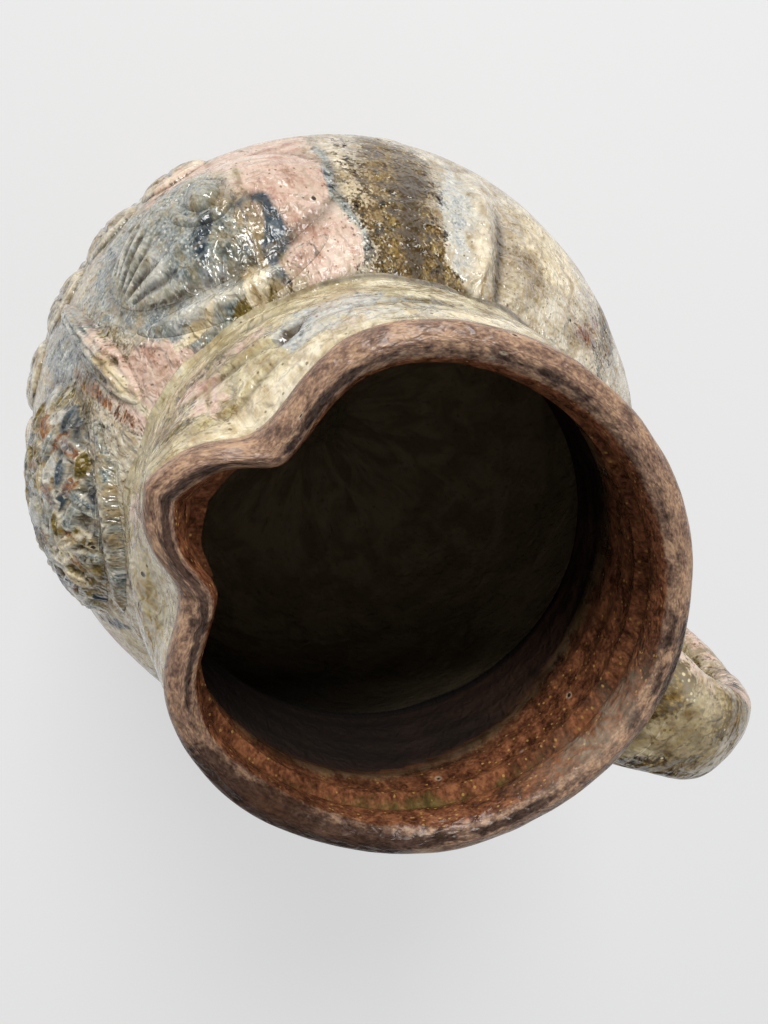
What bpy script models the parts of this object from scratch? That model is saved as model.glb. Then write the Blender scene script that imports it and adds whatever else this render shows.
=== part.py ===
# Stoneware owl pitcher: a thrown belly and neck, a pulled handle, and relief laid on piece by piece.
# Metres, +Z up. The origin is the middle of the flat foot, the spout points to -Y, the handle to +Y.
from math import acos, asin, cos, exp, hypot, pi, radians, sin, tan

import bmesh
import bpy
from mathutils import Vector

# Joints between pieces of clay
SLIP_GAP = 0.0003  # room left between a piece and the one it is stuck to
RELIEF_SPACING = 0.0012  # least bare clay between two pieces of relief

# Belly: two half ellipses that meet at the widest circle
BELLY_RADIUS = 0.085
BELLY_HEIGHT = 0.074  # height of the widest circle above the foot
SHOULDER_RISE = 0.1023  # upright half axis above the widest circle
FLANK_DROP = 0.091  # upright half axis below it
BELLY_WALL = 0.0065
FLOOR_THICKNESS = 0.009
FOOT_CHAMFER = 0.002
SLUMP_X = -0.004  # how far the soft clay leant off its axis as it dried
SLUMP_Y = -0.002
SLUMP_PEAK = 27 / 4  # makes the lean whole two thirds of the way up to the neck

# Neck, lip and pinched spout
NECK_FOOT_RADIUS = 0.0535
NECK_WAIST_RADIUS = 0.0478
NECK_HEIGHT = 0.044
NECK_WALL = 0.007
NECK_FLARE_POWER = 0.5  # below 1 the neck spreads soon under the lip
LIP_RADIUS = 0.0493
LIP_THICKNESS = 0.0067
LIP_HEIGHT = 0.008
RIM_DIP = radians(4.5)  # the rim sinks towards the spout
SPOUT_TURN = radians(2.8)  # the spout sits a little off the plane of the handle
SPOUT_REACH = 0.0046  # how far the spout stands out between its pinched sides
SPOUT_SPREAD = radians(16)
SPOUT_SQUARENESS = 5  # 2 is a soft tongue, more gives it steep sides
SPOUT_DEPTH = 0.032  # how far down the neck the pinch is felt
PINCH_DEPTH = 0.0079
PINCH_ANGLE = radians(21.5)
PINCH_SPREAD = radians(20)

# Strap handle
HANDLE_WIDTH = 0.025
HANDLE_THICKNESS = 0.0115
HANDLE_WAISTING = 0.15  # share of the width lost half way along
HANDLE_ROOT_DROP = 0.016  # upper root below the level of the rim
HANDLE_SEAT_RISE = 0.046  # lower root above the widest circle
HANDLE_ROOT_PULL = 0.046  # how far the strap runs on from each root before it turns
HANDLE_SEAT_PULL = 0.030
HANDLE_ROOT_SLOPE = radians(32)

# Owl relief; widths run round the belly and heights run along its curve
FACE_HALF_WIDTH = 0.034
FACE_HALF_HEIGHT = 0.022
FACE_THICKNESS = 0.003
FACE_DROP = 0.033  # middle of the facial lobe below the neck's joint
FACE_RUFF = 0.002  # how far the rim of the lobe stands above its middle
FACE_RUFF_PLACE = 0.78  # share of the way from the lobe's middle to its edge
FACE_RUFF_SPREAD = 0.16
FACE_PLATEAU = 0.75  # share of the lobe that is level before its edge rolls down
EYE_RING_RADIUS = 0.0078
EYE_RING_WIDTH = 0.0036
EYE_RING_THICKNESS = 0.0024
EYE_RING_SHOULDER = 0.6  # share of the coil's height at which its sides turn in
EYE_PELLET_RADIUS = 0.0048
EYE_PELLET_THICKNESS = 0.0038
EYE_PELLET_SWELL = 3  # a high swell makes a piece level, a low one makes it pointed
BROW_WIDTH = 0.008
BROW_THICKNESS = 0.004
BROW_SWELL = 2
BROW_INNER_ANGLE = radians(150)
BROW_OUTER_ANGLE = radians(45)
BEAK_WIDTH = 0.014
BEAK_HALF_HEIGHT = 0.028
BEAK_DROP = 0.034
BEAK_THICKNESS = 0.005
BEAK_SWELL = 1.5
BEAK_TAPER = 0.6  # share of the beak's width lost at its lower point
BEAK_CLEARANCE = 0.006
WING_HALF_WIDTH = 0.022
WING_HALF_HEIGHT = 0.040
WING_RISE = 0.002
WING_THICKNESS = 0.0032
WING_SWELL = 4
WING_TAPER = 0.5
WING_SWEEP = 0.010  # how far the lower tip trails back
WING_CLEARANCE = 0.005
FEATHER_WIDTH = 0.020
FEATHER_HEIGHT = 0.019
FEATHER_THICKNESS = 0.0028
FEATHER_SWELL = 3
FEATHER_COUNTS = (5, 4, 3)
RELIEF_EDGE = 0.0008  # thickness that a piece of relief keeps at its outline

# Fineness of the faceted surfaces; relief has a count of rings and of sides
TURNED_STEPS = 48
PROFILE_STEPS = 11
NECK_LEVELS = 5
LIP_STEPS = 5
SPOUT_ANGLE_STEP = radians(3)
PLAIN_ANGLE_STEP = radians(7.5)
HANDLE_STATIONS = 18
HANDLE_SIDES = 14
HANDLE_CAP_SHARE = 0.5  # size of the ring that lets each root follow the round wall
SWEEP_SQUARENESS = 0.9  # 1 is an ellipse and 0 a box
FACE_FACETS = (7, 26)
EYE_RING_STEPS = 24
EYE_PELLET_FACETS = (3, 14)
BROW_FACETS = (4, 20)
BEAK_FACETS = (4, 18)
WING_FACETS = (5, 24)
FEATHER_FACETS = (3, 14)
SHARP_ANGLE = radians(40)
SEARCH_STEPS = 50

# Heights and places that follow from the sizes
JOINT_ANGLE = acos(NECK_FOOT_RADIUS / BELLY_RADIUS)
JOINT_HEIGHT = BELLY_HEIGHT + SHOULDER_RISE * sin(JOINT_ANGLE)
JOINT_RISE = SHOULDER_RISE * JOINT_ANGLE  # along the belly's curve
NECK_BASE = JOINT_HEIGHT + SLIP_GAP
RIM_HEIGHT = NECK_BASE + NECK_HEIGHT
FACE_RISE = JOINT_RISE - FACE_DROP
FACE_OFFSET = BEAK_WIDTH / 2 + BEAK_CLEARANCE + FACE_HALF_WIDTH
EYE_SEAT = FACE_THICKNESS + 2 * SLIP_GAP
BEAK_RISE = JOINT_RISE - BEAK_DROP
WING_OFFSET = FACE_OFFSET + FACE_HALF_WIDTH + WING_CLEARANCE + WING_HALF_WIDTH
BROW_OFFSET = RELIEF_SPACING + BROW_WIDTH / 2
FEATHER_TOP = min(FACE_RISE - FACE_HALF_HEIGHT, BEAK_RISE - BEAK_HALF_HEIGHT) - RELIEF_SPACING


def clear_scene():
    for item in list(bpy.data.objects):
        bpy.data.objects.remove(item, do_unlink=True)


def glaze(name, colour, roughness):
    finish = bpy.data.materials.new(name)
    finish.use_nodes = True
    shader = finish.node_tree.nodes["Principled BSDF"]
    shader.inputs["Base Color"].default_value = (*colour, 1)
    shader.inputs["Roughness"].default_value = roughness
    shader.inputs["Metallic"].default_value = 0
    return finish


def add_piece(name, bm, finish, parent):
    """Turns a finished surface into a named, smooth-shaded piece."""
    bmesh.ops.recalc_face_normals(bm, faces=bm.faces)
    mesh = bpy.data.meshes.new(name)
    bm.to_mesh(mesh)
    bm.free()
    mesh.materials.append(finish)
    mesh.shade_smooth()
    mesh.set_sharp_from_angle(angle=SHARP_ANGLE)
    piece = bpy.data.objects.new(name, mesh)
    piece.parent = parent
    bpy.context.collection.objects.link(piece)
    return piece


def skin(rings, first_cap=None, last_cap=None):
    """Surface through rings of equal count: closed by a point at each end, or back on itself."""
    bm = bmesh.new()
    loops = [[bm.verts.new(point) for point in ring] for ring in rings]
    pairs = list(zip(loops, loops[1:]))
    if first_cap is None:
        pairs.append((loops[-1], loops[0]))
    for lower, upper in pairs:
        for i in range(len(lower)):
            j = (i + 1) % len(lower)
            bm.faces.new((lower[i], lower[j], upper[j], upper[i]))
    if first_cap is not None:
        for point, loop in ((first_cap, loops[0]), (last_cap, loops[-1])):
            tip = bm.verts.new(point)
            for i in range(len(loop)):
                bm.faces.new((tip, loop[i], loop[(i + 1) % len(loop)]))
    bmesh.ops.triangulate(bm, faces=bm.faces)
    return bm


# Belly

def half_axis(angle):
    return SHOULDER_RISE if angle > 0 else FLANK_DROP


def belly_section(angle, lift=0.0):
    """Radius and height on the belly's curve, moved out along its normal by lift."""
    rise = half_axis(angle)
    normal = Vector((cos(angle) / BELLY_RADIUS, sin(angle) / rise)).normalized()
    radius = BELLY_RADIUS * cos(angle) + lift * normal.x
    height = BELLY_HEIGHT + rise * sin(angle) + lift * normal.y
    return radius, height


def lean(height):
    """Sideways move of the belly at a height: none at the foot and none at the neck."""
    share = min(1.0, max(0.0, height / JOINT_HEIGHT))
    return Vector((SLUMP_X, SLUMP_Y, 0.0)) * (SLUMP_PEAK * share * share * (1 - share))


def turned(radius, height, turn):
    """Point of the belly's clay at a turn from the front, with the lean."""
    return Vector((radius * sin(turn), -radius * cos(turn), height)) + lean(height)


def on_belly(across, along, lift):
    """Point on the belly from its distances round and along the curve, measured at the front."""
    return turned(*belly_section(along / half_axis(along), lift), across / BELLY_RADIUS)


def angle_at_height(height, lift):
    """Angle below the widest circle at which the curve, moved by lift, has the given height."""
    low, high = -pi / 2, 0.0
    for _ in range(SEARCH_STEPS):
        middle = (low + high) / 2
        if belly_section(middle, lift)[1] < height:
            low = middle
        else:
            high = middle
    return low


def spread(first, last, count):
    return [first + (last - first) * i / (count - 1) for i in range(count)]


def make_belly(parent):
    floor_angle = angle_at_height(FLOOR_THICKNESS, -BELLY_WALL)
    foot_angle = angle_at_height(FOOT_CHAMFER, 0.0)
    inside = [belly_section(a, -BELLY_WALL) for a in spread(floor_angle, JOINT_ANGLE, PROFILE_STEPS)]
    outside = [belly_section(a) for a in spread(JOINT_ANGLE, foot_angle, PROFILE_STEPS + 2)]
    foot_radius = outside[-1][0] - FOOT_CHAMFER
    profile = inside + [(NECK_FOOT_RADIUS - NECK_WALL, JOINT_HEIGHT)] + outside + [(foot_radius, 0.0)]
    turns = [2 * pi * step / TURNED_STEPS for step in range(TURNED_STEPS)]
    rings = [[turned(radius, height, turn) for turn in turns] for radius, height in profile]
    floor = turned(0.0, FLOOR_THICKNESS, 0.0)
    surface = skin(rings, floor, Vector((0.0, 0.0, 0.0)))
    add_piece("belly_body", surface, glaze("belly_ash_glaze", (0.42, 0.37, 0.27), 0.4), parent)


# Neck

def neck_outside(level):
    """Outer radius of the round neck at a level above its lower edge."""
    waist_level = NECK_HEIGHT - LIP_HEIGHT
    share = max(0.0, 1 - level / waist_level)
    return NECK_WAIST_RADIUS + (NECK_FOOT_RADIUS - NECK_WAIST_RADIUS) * share ** NECK_FLARE_POWER


def neck_section():
    """Closed outline of the wall as radius and level: up outside, over the lip, down inside."""
    levels = spread(0.0, NECK_HEIGHT - LIP_HEIGHT, NECK_LEVELS)
    outside = [(neck_outside(level), level) for level in levels]
    inside = [(radius - NECK_WALL, level) for radius, level in reversed(outside)]
    crest = LIP_RADIUS - LIP_THICKNESS / 2
    lip = [(crest + LIP_THICKNESS / 2 * cos(a), NECK_HEIGHT + LIP_HEIGHT / 2 * (sin(a) - 1))
           for a in spread(0.0, pi, LIP_STEPS)]
    return outside + lip + inside


def spout_shift(turn):
    """Outward move of the rim at a turn from the front: a tongue between two pinches."""
    off = abs(turn - SPOUT_TURN)
    tongue = SPOUT_REACH * exp(-(off / SPOUT_SPREAD) ** SPOUT_SQUARENESS)
    pinch = PINCH_DEPTH * exp(-((off - PINCH_ANGLE) / PINCH_SPREAD) ** 2)
    return tongue - pinch


def on_neck(radius, level, turn):
    share = max(0.0, 1 - (NECK_HEIGHT - level) / SPOUT_DEPTH)
    reach = radius + spout_shift(turn) * share * share * (3 - 2 * share)
    x, y = reach * sin(turn), -reach * cos(turn)
    return Vector((x, y, NECK_BASE + level * (1 + tan(RIM_DIP) * y / NECK_HEIGHT)))


def neck_turns():
    """Turns round the neck, closer together where the spout bends the rim."""
    spout_edge = PINCH_ANGLE + PINCH_SPREAD
    spout_count = round(2 * spout_edge / SPOUT_ANGLE_STEP)
    plain_count = round((2 * pi - 2 * spout_edge) / PLAIN_ANGLE_STEP)
    turns = spread(-spout_edge, spout_edge, spout_count + 1)
    return turns + spread(spout_edge, 2 * pi - spout_edge, plain_count + 1)[1:-1]


def make_neck(parent):
    turns = [turn - 2 * pi if turn > pi else turn for turn in neck_turns()]
    rings = [[on_neck(radius, level, turn) for turn in turns] for radius, level in neck_section()]
    add_piece("neck_collar", skin(rings), glaze("neck_iron_glaze", (0.26, 0.16, 0.10), 0.35), parent)


# Handle

def inside_neck(point):
    level = (point.z - NECK_BASE) / (1 + tan(RIM_DIP) * point.y / NECK_HEIGHT)
    under_lip = NECK_HEIGHT - LIP_HEIGHT
    roll = min(1.0, max(0.0, 2 * (level - under_lip) / LIP_HEIGHT))
    radius = neck_outside(level) + roll * (LIP_RADIUS - NECK_WAIST_RADIUS)
    return hypot(point.x, point.y) < radius + SLIP_GAP


def inside_belly(point):
    rise = point.z - BELLY_HEIGHT
    upright = point - lean(point.z)
    across = hypot(upright.x, upright.y) / (BELLY_RADIUS + SLIP_GAP)
    return across ** 2 + (rise / (half_axis(rise) + SLIP_GAP)) ** 2 < 1


def slide_to_surface(point, away, inside):
    """Moves a point of a root along the strap until it just clears the piece that carries it."""
    low, high = -HANDLE_ROOT_PULL, HANDLE_ROOT_PULL
    for _ in range(SEARCH_STEPS):
        middle = (low + high) / 2
        if inside(point + away * middle):
            low = middle
        else:
            high = middle
    return point + away * high


def handle_curve():
    """Control points of the strap's middle line, from the neck round to the shoulder."""
    root_level = NECK_HEIGHT - HANDLE_ROOT_DROP
    root = on_neck(neck_outside(root_level), root_level, pi)
    leave = Vector((0.0, cos(HANDLE_ROOT_SLOPE), sin(HANDLE_ROOT_SLOPE)))
    seat_angle = asin(HANDLE_SEAT_RISE / SHOULDER_RISE)
    seat = turned(*belly_section(seat_angle), pi)
    land = turned(*belly_section(seat_angle, HANDLE_SEAT_PULL), pi)
    return root, root + leave * HANDLE_ROOT_PULL, land, seat


def curve_point(control, share):
    rest = 1 - share
    weights = (rest ** 3, 3 * rest * rest * share, 3 * rest * share * share, share ** 3)
    return sum((point * weight for point, weight in zip(control, weights)), Vector())


def rounded(value):
    return abs(value) ** SWEEP_SQUARENESS * (1 if value > 0 else -1)


def make_handle(parent):
    control = handle_curve()
    shares = spread(0.0, 1.0, HANDLE_STATIONS)
    line = [curve_point(control, share) for share in shares]
    runs = [control[1] - control[0]] + [b - a for a, b in zip(line, line[2:])] + [control[3] - control[2]]
    rings = []
    for share, middle, run in zip(shares, line, runs):
        run.normalize()
        outward = Vector((0.0, -run.z, run.y))
        half_width = HANDLE_WIDTH / 2 * (1 - HANDLE_WAISTING * sin(pi * share))
        ring = []
        for side in range(HANDLE_SIDES):
            turn = 2 * pi * side / HANDLE_SIDES
            across = Vector((half_width * rounded(cos(turn)), 0.0, 0.0))
            ring.append(middle + across + outward * (HANDLE_THICKNESS / 2 * rounded(sin(turn))))
        rings.append(ring)
    ends = ((0, runs[0], inside_neck), (-1, -runs[-1], inside_belly))
    caps = []
    for end, away, inside in ends:
        wide = rings[end]
        narrow = [line[end].lerp(point, HANDLE_CAP_SHARE) for point in wide]
        rings[end] = [slide_to_surface(point, away, inside) for point in wide]
        rings.insert(end and len(rings), [slide_to_surface(point, away, inside) for point in narrow])
        caps.append(slide_to_surface(line[end], away, inside))
    finish = glaze("handle_ash_glaze", (0.38, 0.34, 0.22), 0.4)
    add_piece("handle", skin(rings, *caps), finish, parent)


# Relief laid on the belly

def lay_on(name, chart, crown, seat, facets, finish, parent):
    """Piece over a unit disc: chart places it on the belly, crown is its thickness there."""
    rings, sides = facets
    disc = [[(ring / rings * cos(2 * pi * side / sides), ring / rings * sin(2 * pi * side / sides))
             for side in range(sides)] for ring in range(1, rings + 1)]
    upper = [[on_belly(*chart(p, q), seat + crown(p, q)) for p, q in ring] for ring in disc]
    under = [[on_belly(*chart(p, q), seat) for p, q in ring] for ring in disc]
    top = on_belly(*chart(0, 0), seat + crown(0, 0))
    bottom = on_belly(*chart(0, 0), seat)
    add_piece(name, skin(upper + under[::-1], top, bottom), finish, parent)


def swell(thickness, power):
    """Crown that rises from the thin edge to the full thickness; a high power makes it level."""
    return lambda p, q: RELIEF_EDGE + (thickness - RELIEF_EDGE) * (1 - hypot(p, q) ** power)


def face_crown(p, q):
    share = hypot(p, q)
    fall = max(0.0, (share - FACE_PLATEAU) / (1 - FACE_PLATEAU)) ** 2
    ruff = FACE_RUFF * exp(-((share - FACE_RUFF_PLACE) / FACE_RUFF_SPREAD) ** 2)
    return RELIEF_EDGE + (FACE_THICKNESS - RELIEF_EDGE + ruff) * (1 - fall)


def make_face(side, label, parent):
    middle = side * FACE_OFFSET

    def face_chart(p, q):
        return middle + FACE_HALF_WIDTH * p, FACE_RISE + FACE_HALF_HEIGHT * q

    def pellet_chart(p, q):
        return middle + EYE_PELLET_RADIUS * p, FACE_RISE + EYE_PELLET_RADIUS * q

    def brow_chart(p, q):
        bearing = (BROW_INNER_ANGLE + BROW_OUTER_ANGLE) / 2 + p * (BROW_OUTER_ANGLE - BROW_INNER_ANGLE) / 2
        out = BROW_OFFSET + q * BROW_WIDTH / 2
        across = side * (FACE_OFFSET + (FACE_HALF_WIDTH + out) * cos(bearing))
        return across, FACE_RISE + (FACE_HALF_HEIGHT + out) * sin(bearing)

    lay_on(label + "_face_disc", face_chart, face_crown, SLIP_GAP, FACE_FACETS,
           glaze(label + "_face_glaze", (0.45, 0.36, 0.30), 0.35), parent)
    lay_on(label + "_eye_pellet", pellet_chart, swell(EYE_PELLET_THICKNESS, EYE_PELLET_SWELL),
           EYE_SEAT, EYE_PELLET_FACETS, glaze(label + "_pellet_glaze", (0.10, 0.12, 0.14), 0.2), parent)
    lay_on(label + "_brow", brow_chart, swell(BROW_THICKNESS, BROW_SWELL), SLIP_GAP, BROW_FACETS,
           glaze(label + "_brow_glaze", (0.40, 0.27, 0.20), 0.4), parent)


def make_eye_ring(side, label, parent):
    low, high = EYE_SEAT, EYE_SEAT + EYE_RING_THICKNESS
    shoulder = EYE_SEAT + EYE_RING_THICKNESS * EYE_RING_SHOULDER
    half = EYE_RING_WIDTH / 2
    section = ((-half, low), (-half, shoulder), (0.0, high), (half, shoulder), (half, low))
    turns = [2 * pi * step / EYE_RING_STEPS for step in range(EYE_RING_STEPS)]
    rings = []
    for out, lift in section:
        radius = EYE_RING_RADIUS + out
        rings.append([on_belly(side * FACE_OFFSET + radius * cos(turn), FACE_RISE + radius * sin(turn), lift)
                      for turn in turns])
    add_piece(label + "_eye_ring", skin(rings), glaze(label + "_ring_glaze", (0.34, 0.38, 0.36), 0.3), parent)


def make_beak(parent):
    def chart(p, q):
        half_width = BEAK_WIDTH / 2 * (1 - BEAK_TAPER * (1 - q) / 2)
        return half_width * p, BEAK_RISE + BEAK_HALF_HEIGHT * q

    lay_on("beak", chart, swell(BEAK_THICKNESS, BEAK_SWELL), SLIP_GAP, BEAK_FACETS,
           glaze("beak_glaze", (0.42, 0.24, 0.15), 0.4), parent)


def make_wing(side, label, parent):
    def chart(p, q):
        half_width = WING_HALF_WIDTH * (1 - WING_TAPER * (1 - q) / 2)
        across = side * (WING_OFFSET + half_width * p - WING_SWEEP * min(q, 0))
        return across, WING_RISE + WING_HALF_HEIGHT * q

    lay_on(label + "_wing", chart, swell(WING_THICKNESS, WING_SWELL), SLIP_GAP, WING_FACETS,
           glaze(label + "_wing_glaze", (0.44, 0.40, 0.30), 0.4), parent)


def make_breast(parent):
    for row, count in enumerate(FEATHER_COUNTS):
        along = FEATHER_TOP - FEATHER_HEIGHT / 2 - row * (FEATHER_HEIGHT + RELIEF_SPACING)
        for place in range(count):
            across = (place - (count - 1) / 2) * (FEATHER_WIDTH + RELIEF_SPACING)

            def chart(p, q):
                return across + FEATHER_WIDTH / 2 * p, along + FEATHER_HEIGHT / 2 * q

            name = f"breast_feather_{row + 1}_{place + 1}"
            lay_on(name, chart, swell(FEATHER_THICKNESS, FEATHER_SWELL), SLIP_GAP, FEATHER_FACETS,
                   glaze(name + "_glaze", (0.40, 0.33, 0.22), 0.4), parent)


def main():
    clear_scene()
    pitcher = bpy.data.objects.new("pitcher", None)
    bpy.context.collection.objects.link(pitcher)
    make_belly(pitcher)
    make_neck(pitcher)
    make_handle(pitcher)
    make_beak(pitcher)
    make_breast(pitcher)
    for side, label in ((-1, "left"), (1, "right")):
        make_face(side, label, pitcher)
        make_eye_ring(side, label, pitcher)
        make_wing(side, label, pitcher)


main()
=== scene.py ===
# Owl pitcher in wood-fired stoneware: the looks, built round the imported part
from functools import partial
from math import asin, cos, pi, radians, sin, tan

import bpy
import numpy as np
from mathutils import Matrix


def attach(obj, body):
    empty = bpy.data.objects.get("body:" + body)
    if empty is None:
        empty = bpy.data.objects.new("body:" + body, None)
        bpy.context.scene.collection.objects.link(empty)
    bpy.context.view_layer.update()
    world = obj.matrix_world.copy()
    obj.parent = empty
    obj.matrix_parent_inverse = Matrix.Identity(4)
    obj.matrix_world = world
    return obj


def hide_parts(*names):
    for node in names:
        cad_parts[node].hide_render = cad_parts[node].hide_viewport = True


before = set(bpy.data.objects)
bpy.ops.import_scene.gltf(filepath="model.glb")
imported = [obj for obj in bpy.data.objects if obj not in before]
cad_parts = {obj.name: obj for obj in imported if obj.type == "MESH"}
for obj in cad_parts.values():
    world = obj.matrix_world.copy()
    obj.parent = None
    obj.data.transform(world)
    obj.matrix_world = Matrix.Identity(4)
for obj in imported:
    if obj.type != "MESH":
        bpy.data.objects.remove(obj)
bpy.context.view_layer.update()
millimetre = 0.001  # every size below is in millimetres


# Small tools

def linear(hexColour):
    parts = [int(hexColour[i:i + 2], 16) / 255 for i in (1, 3, 5)]
    return [c / 12.92 if c <= 0.04045 else ((c + 0.055) / 1.055) ** 2.4 for c in parts] + [1.0]


def ramp(value, start, end, most=1.0):
    # rises softly from start to end; with an end below its start it falls
    share = np.clip((value - start) / (end - start), 0, 1)
    return most * share * share * (3 - 2 * share)


def bump(value, middle, width, most=1.0):
    return most * np.exp(-((value - middle) / width) ** 2)


lattice = {"seedStep": 17.31, "primes": (73856093, 19349663, 83492791), "shifts": (13, 16), "fold": 1000003,
           "spread": 1274127, "top": 0xffff}


def clayNoise(points, size, seed):
    # smooth lattice noise from -1 to 1, the same on every run
    cell = np.asarray(points, float) / size + seed * lattice["seedStep"]
    corner0 = np.floor(cell)
    part = cell - corner0
    part = part * part * (3 - 2 * part)
    corner0 = corner0.astype(np.int64)
    total = np.zeros(cell.shape[:-1])
    for corner in np.ndindex(2, 2, 2):
        key = ((corner0 + corner) * lattice["primes"]).sum(-1)
        key = (key ^ (key >> lattice["shifts"][0])) % lattice["fold"] * lattice["spread"]
        key = (key ^ (key >> lattice["shifts"][1])) & lattice["top"]
        total += np.where(corner, part, 1 - part).prod(-1) * key / lattice["top"]
    return total * 2 - 1


def uneven(at, *waves):
    # noises added up: height, size and seed of each
    return sum(height * clayNoise(at, size, seed) for height, size, seed in waves)


def ringFaces(rows, cols, first=0, loop=False):
    # quads between rows of points that close round; loop also joins the last row to the first
    row = np.arange(rows if loop else rows - 1)[:, None]
    col = np.arange(cols)[None, :]
    here, above = row * cols, (row + 1) % rows * cols
    nextCol = (col + 1) % cols
    quads = np.stack((here + col, here + nextCol, above + nextCol, above + col), -1)
    return quads.reshape(-1, 4) + first


def tipFaces(ring, tip):
    return np.stack((np.roll(ring, -1), ring, np.full(len(ring), tip)), -1)


def endFaces(rows, cols):
    # fans that close the first and the last row; their two tips follow the rows
    first = np.arange(cols)
    last = first[::-1] + (rows - 1) * cols
    return np.concatenate((tipFaces(first, rows * cols), tipFaces(last, rows * cols + 1)))


noTris = np.zeros((0, 3), int)
liningFrom = 0.98  # painted share of "inner" from which a face lies wholly inside the vessel


def addPiece(name, node, glaze, points, quads, tris, tints, roll, lining=None):
    points, roll = points.reshape(-1, 3), roll.reshape(-1, 3)
    corners = np.concatenate((quads[:, :3], quads[:, [0, 2, 3]], tris))
    a, b, c = (points[corners[:, i]] for i in range(3))
    if np.einsum("ij,ij->i", a, np.cross(b, c)).sum() < 0:  # keeps every face looking outwards
        quads, tris = quads[:, ::-1], tris[:, ::-1]
    mesh = bpy.data.meshes.new(name)
    loops = np.concatenate((quads.ravel(), tris.ravel())).astype(np.int32)
    starts = np.concatenate((np.arange(len(quads)) * 4, len(quads) * 4 + np.arange(len(tris)) * 3))
    mesh.vertices.add(len(points))
    mesh.vertices.foreach_set("co", (points * millimetre).astype(np.float32).ravel())
    mesh.loops.add(len(loops))
    mesh.loops.foreach_set("vertex_index", loops)
    mesh.polygons.add(len(starts))
    mesh.polygons.foreach_set("loop_start", starts.astype(np.int32))
    mesh.update(calc_edges=True)
    mesh.validate()
    mesh.shade_smooth()
    for key, values in tints.items():
        layer = mesh.attributes.new(key, "FLOAT", "POINT")
        layer.data.foreach_set("value", np.asarray(values, np.float32).ravel())
    layer = mesh.attributes.new("roll", "FLOAT_VECTOR", "POINT")
    layer.data.foreach_set("vector", roll.astype(np.float32).ravel())
    mesh.materials.append(glaze)
    if lining:
        mesh.materials.append(lining)
        lined = tints["inner"].ravel()[loops[starts]] > liningFrom
        mesh.polygons.foreach_set("material_index", lined.astype(np.int32))
    piece = bpy.data.objects.new(name, mesh)
    bpy.context.scene.collection.objects.link(piece)
    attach(piece, "root")
    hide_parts(node)


def feed(tree, inputs, values):
    for key, value in values.items():
        if isinstance(value, bpy.types.NodeSocket):
            tree.links.new(value, inputs[key])
        else:
            inputs[key].default_value = value


def addNode(tree, kind, values=None, out=0, stops=(), **settings):
    # one node with its settings, colour stops and links; gives back the socket asked for
    node = tree.nodes.new("ShaderNode" + kind)
    for key, value in settings.items():
        setattr(node, key, value)
    for spot, colour in stops:
        node.color_ramp.elements.new(spot).color = linear(colour)
    if stops:
        node.color_ramp.elements.remove(node.color_ramp.elements[0])
        node.color_ramp.elements.remove(node.color_ramp.elements[-1])
    feed(tree, node.inputs, values or {})
    return node.outputs[out]


# Glazes

# Patterns in the glaze: size in mm, detail, roughness, stretch along the wall and round it, distortion
glazePatterns = {
    "cloud": (17.0, 4.0, 0.52, 1.0, 1.0, 0.8),  # how thick the glaze lies
    "flow": (6.0, 6.0, 0.56, 1.8, 1.0, 0.9),  # fronts where one glaze ran over another
    "mottle": (3.2, 4.0, 0.56, 1.0, 1.0, 0.4),  # curdled ash
    "streak": (1.7, 5.0, 0.58, 8.0, 1.0, 0.6),  # runs down the wall
    "turned": (1.8, 4.0, 0.58, 1.0, 9.0, 0.4),  # lines left by the wheel
    "vein": (12.0, 6.0, 0.58, 0.8, 2.2, 0.8),  # wisps where two glazes met
    "grain": (0.8, 2.0, 0.60, 1.0, 1.0, 0.0),  # crystals, drawn a little coarse so that they show
    "skin": (2.6, 1.5, 0.50, 1.0, 1.0, 0.8),  # dimples in the glassy surface
    "dent": (6.5, 1.5, 0.50, 1.0, 1.0, 0.8),  # wider waves of it
}
# Mixed patterns: shares of the plain ones
glazeBlends = {
    "torn": (("flow", 0.62), ("mottle", 0.20), ("turned", 0.10), ("grain", 0.08)),
    "runs": (("mottle", 0.36), ("grain", 0.30), ("flow", 0.24), ("streak", 0.10)),
    "depth": (("cloud", 0.35), ("mottle", 0.30), ("streak", 0.20), ("grain", 0.15)),
    "brushed": (("turned", 0.45), ("cloud", 0.30), ("mottle", 0.25)),
}
# Coats: painted area, pattern that tears its edge, how far, softness, colours thin to thick, their pattern
wallCoats = [
    ("taupe", "torn", 2.4, 0.16, ("#d0c5aa", "#b2a489", "#867863"), "depth"),
    ("salmon", "torn", 2.6, 0.22, ("#d5c2b3", "#c9ad9b", "#a6806d"), "depth"),
    ("orange", "runs", 2.6, 0.12, ("#b9895a", "#875733", "#4d2f1b"), "runs"),
    ("slate", "torn", 2.6, 0.20, ("#c4c8c1", "#89918e", "#424d50"), "runs"),
    ("olive", "runs", 2.8, 0.12, ("#a39250", "#6f5f2a", "#3a3014"), "runs"),
    ("pale", "runs", 2.6, 0.16, ("#d5d2c5", "#babab2", "#8b8f8f"), "runs"),
    ("cream", "runs", 2.4, 0.10, ("#e9e0c9", "#d8caa8", "#b5a074"), "depth"),
    ("ash", "runs", 3.0, 0.12, ("#b39d5e", "#5f4817", "#180f03"), "runs"),
    ("navy", "torn", 1.4, 0.16, ("#66727a", "#3d4953", "#1f2830"), "depth"),
]
lipCoats = [
    ("edge", "torn", 1.6, 0.20, ("#b08f71", "#866a57", "#5b473d"), "runs"),
    ("iron", "torn", 1.8, 0.20, ("#5f4a3e", "#46352c", "#2b201a"), "runs"),
    ("rust", "torn", 1.6, 0.20, ("#8f5c3d", "#69402a", "#3c2215"), "runs"),
    ("olivine", "torn", 2.4, 0.20, ("#75623a", "#574827", "#352b18"), "depth"),
]
plainCoats = [  # laid last, with no torn edge
    ("inner", ("#442b1d", "#342116", "#24160e"), "brushed"),
    ("bare", ("#a07d60", "#86654b", "#6b4f3a"), "grain"),
]
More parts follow.
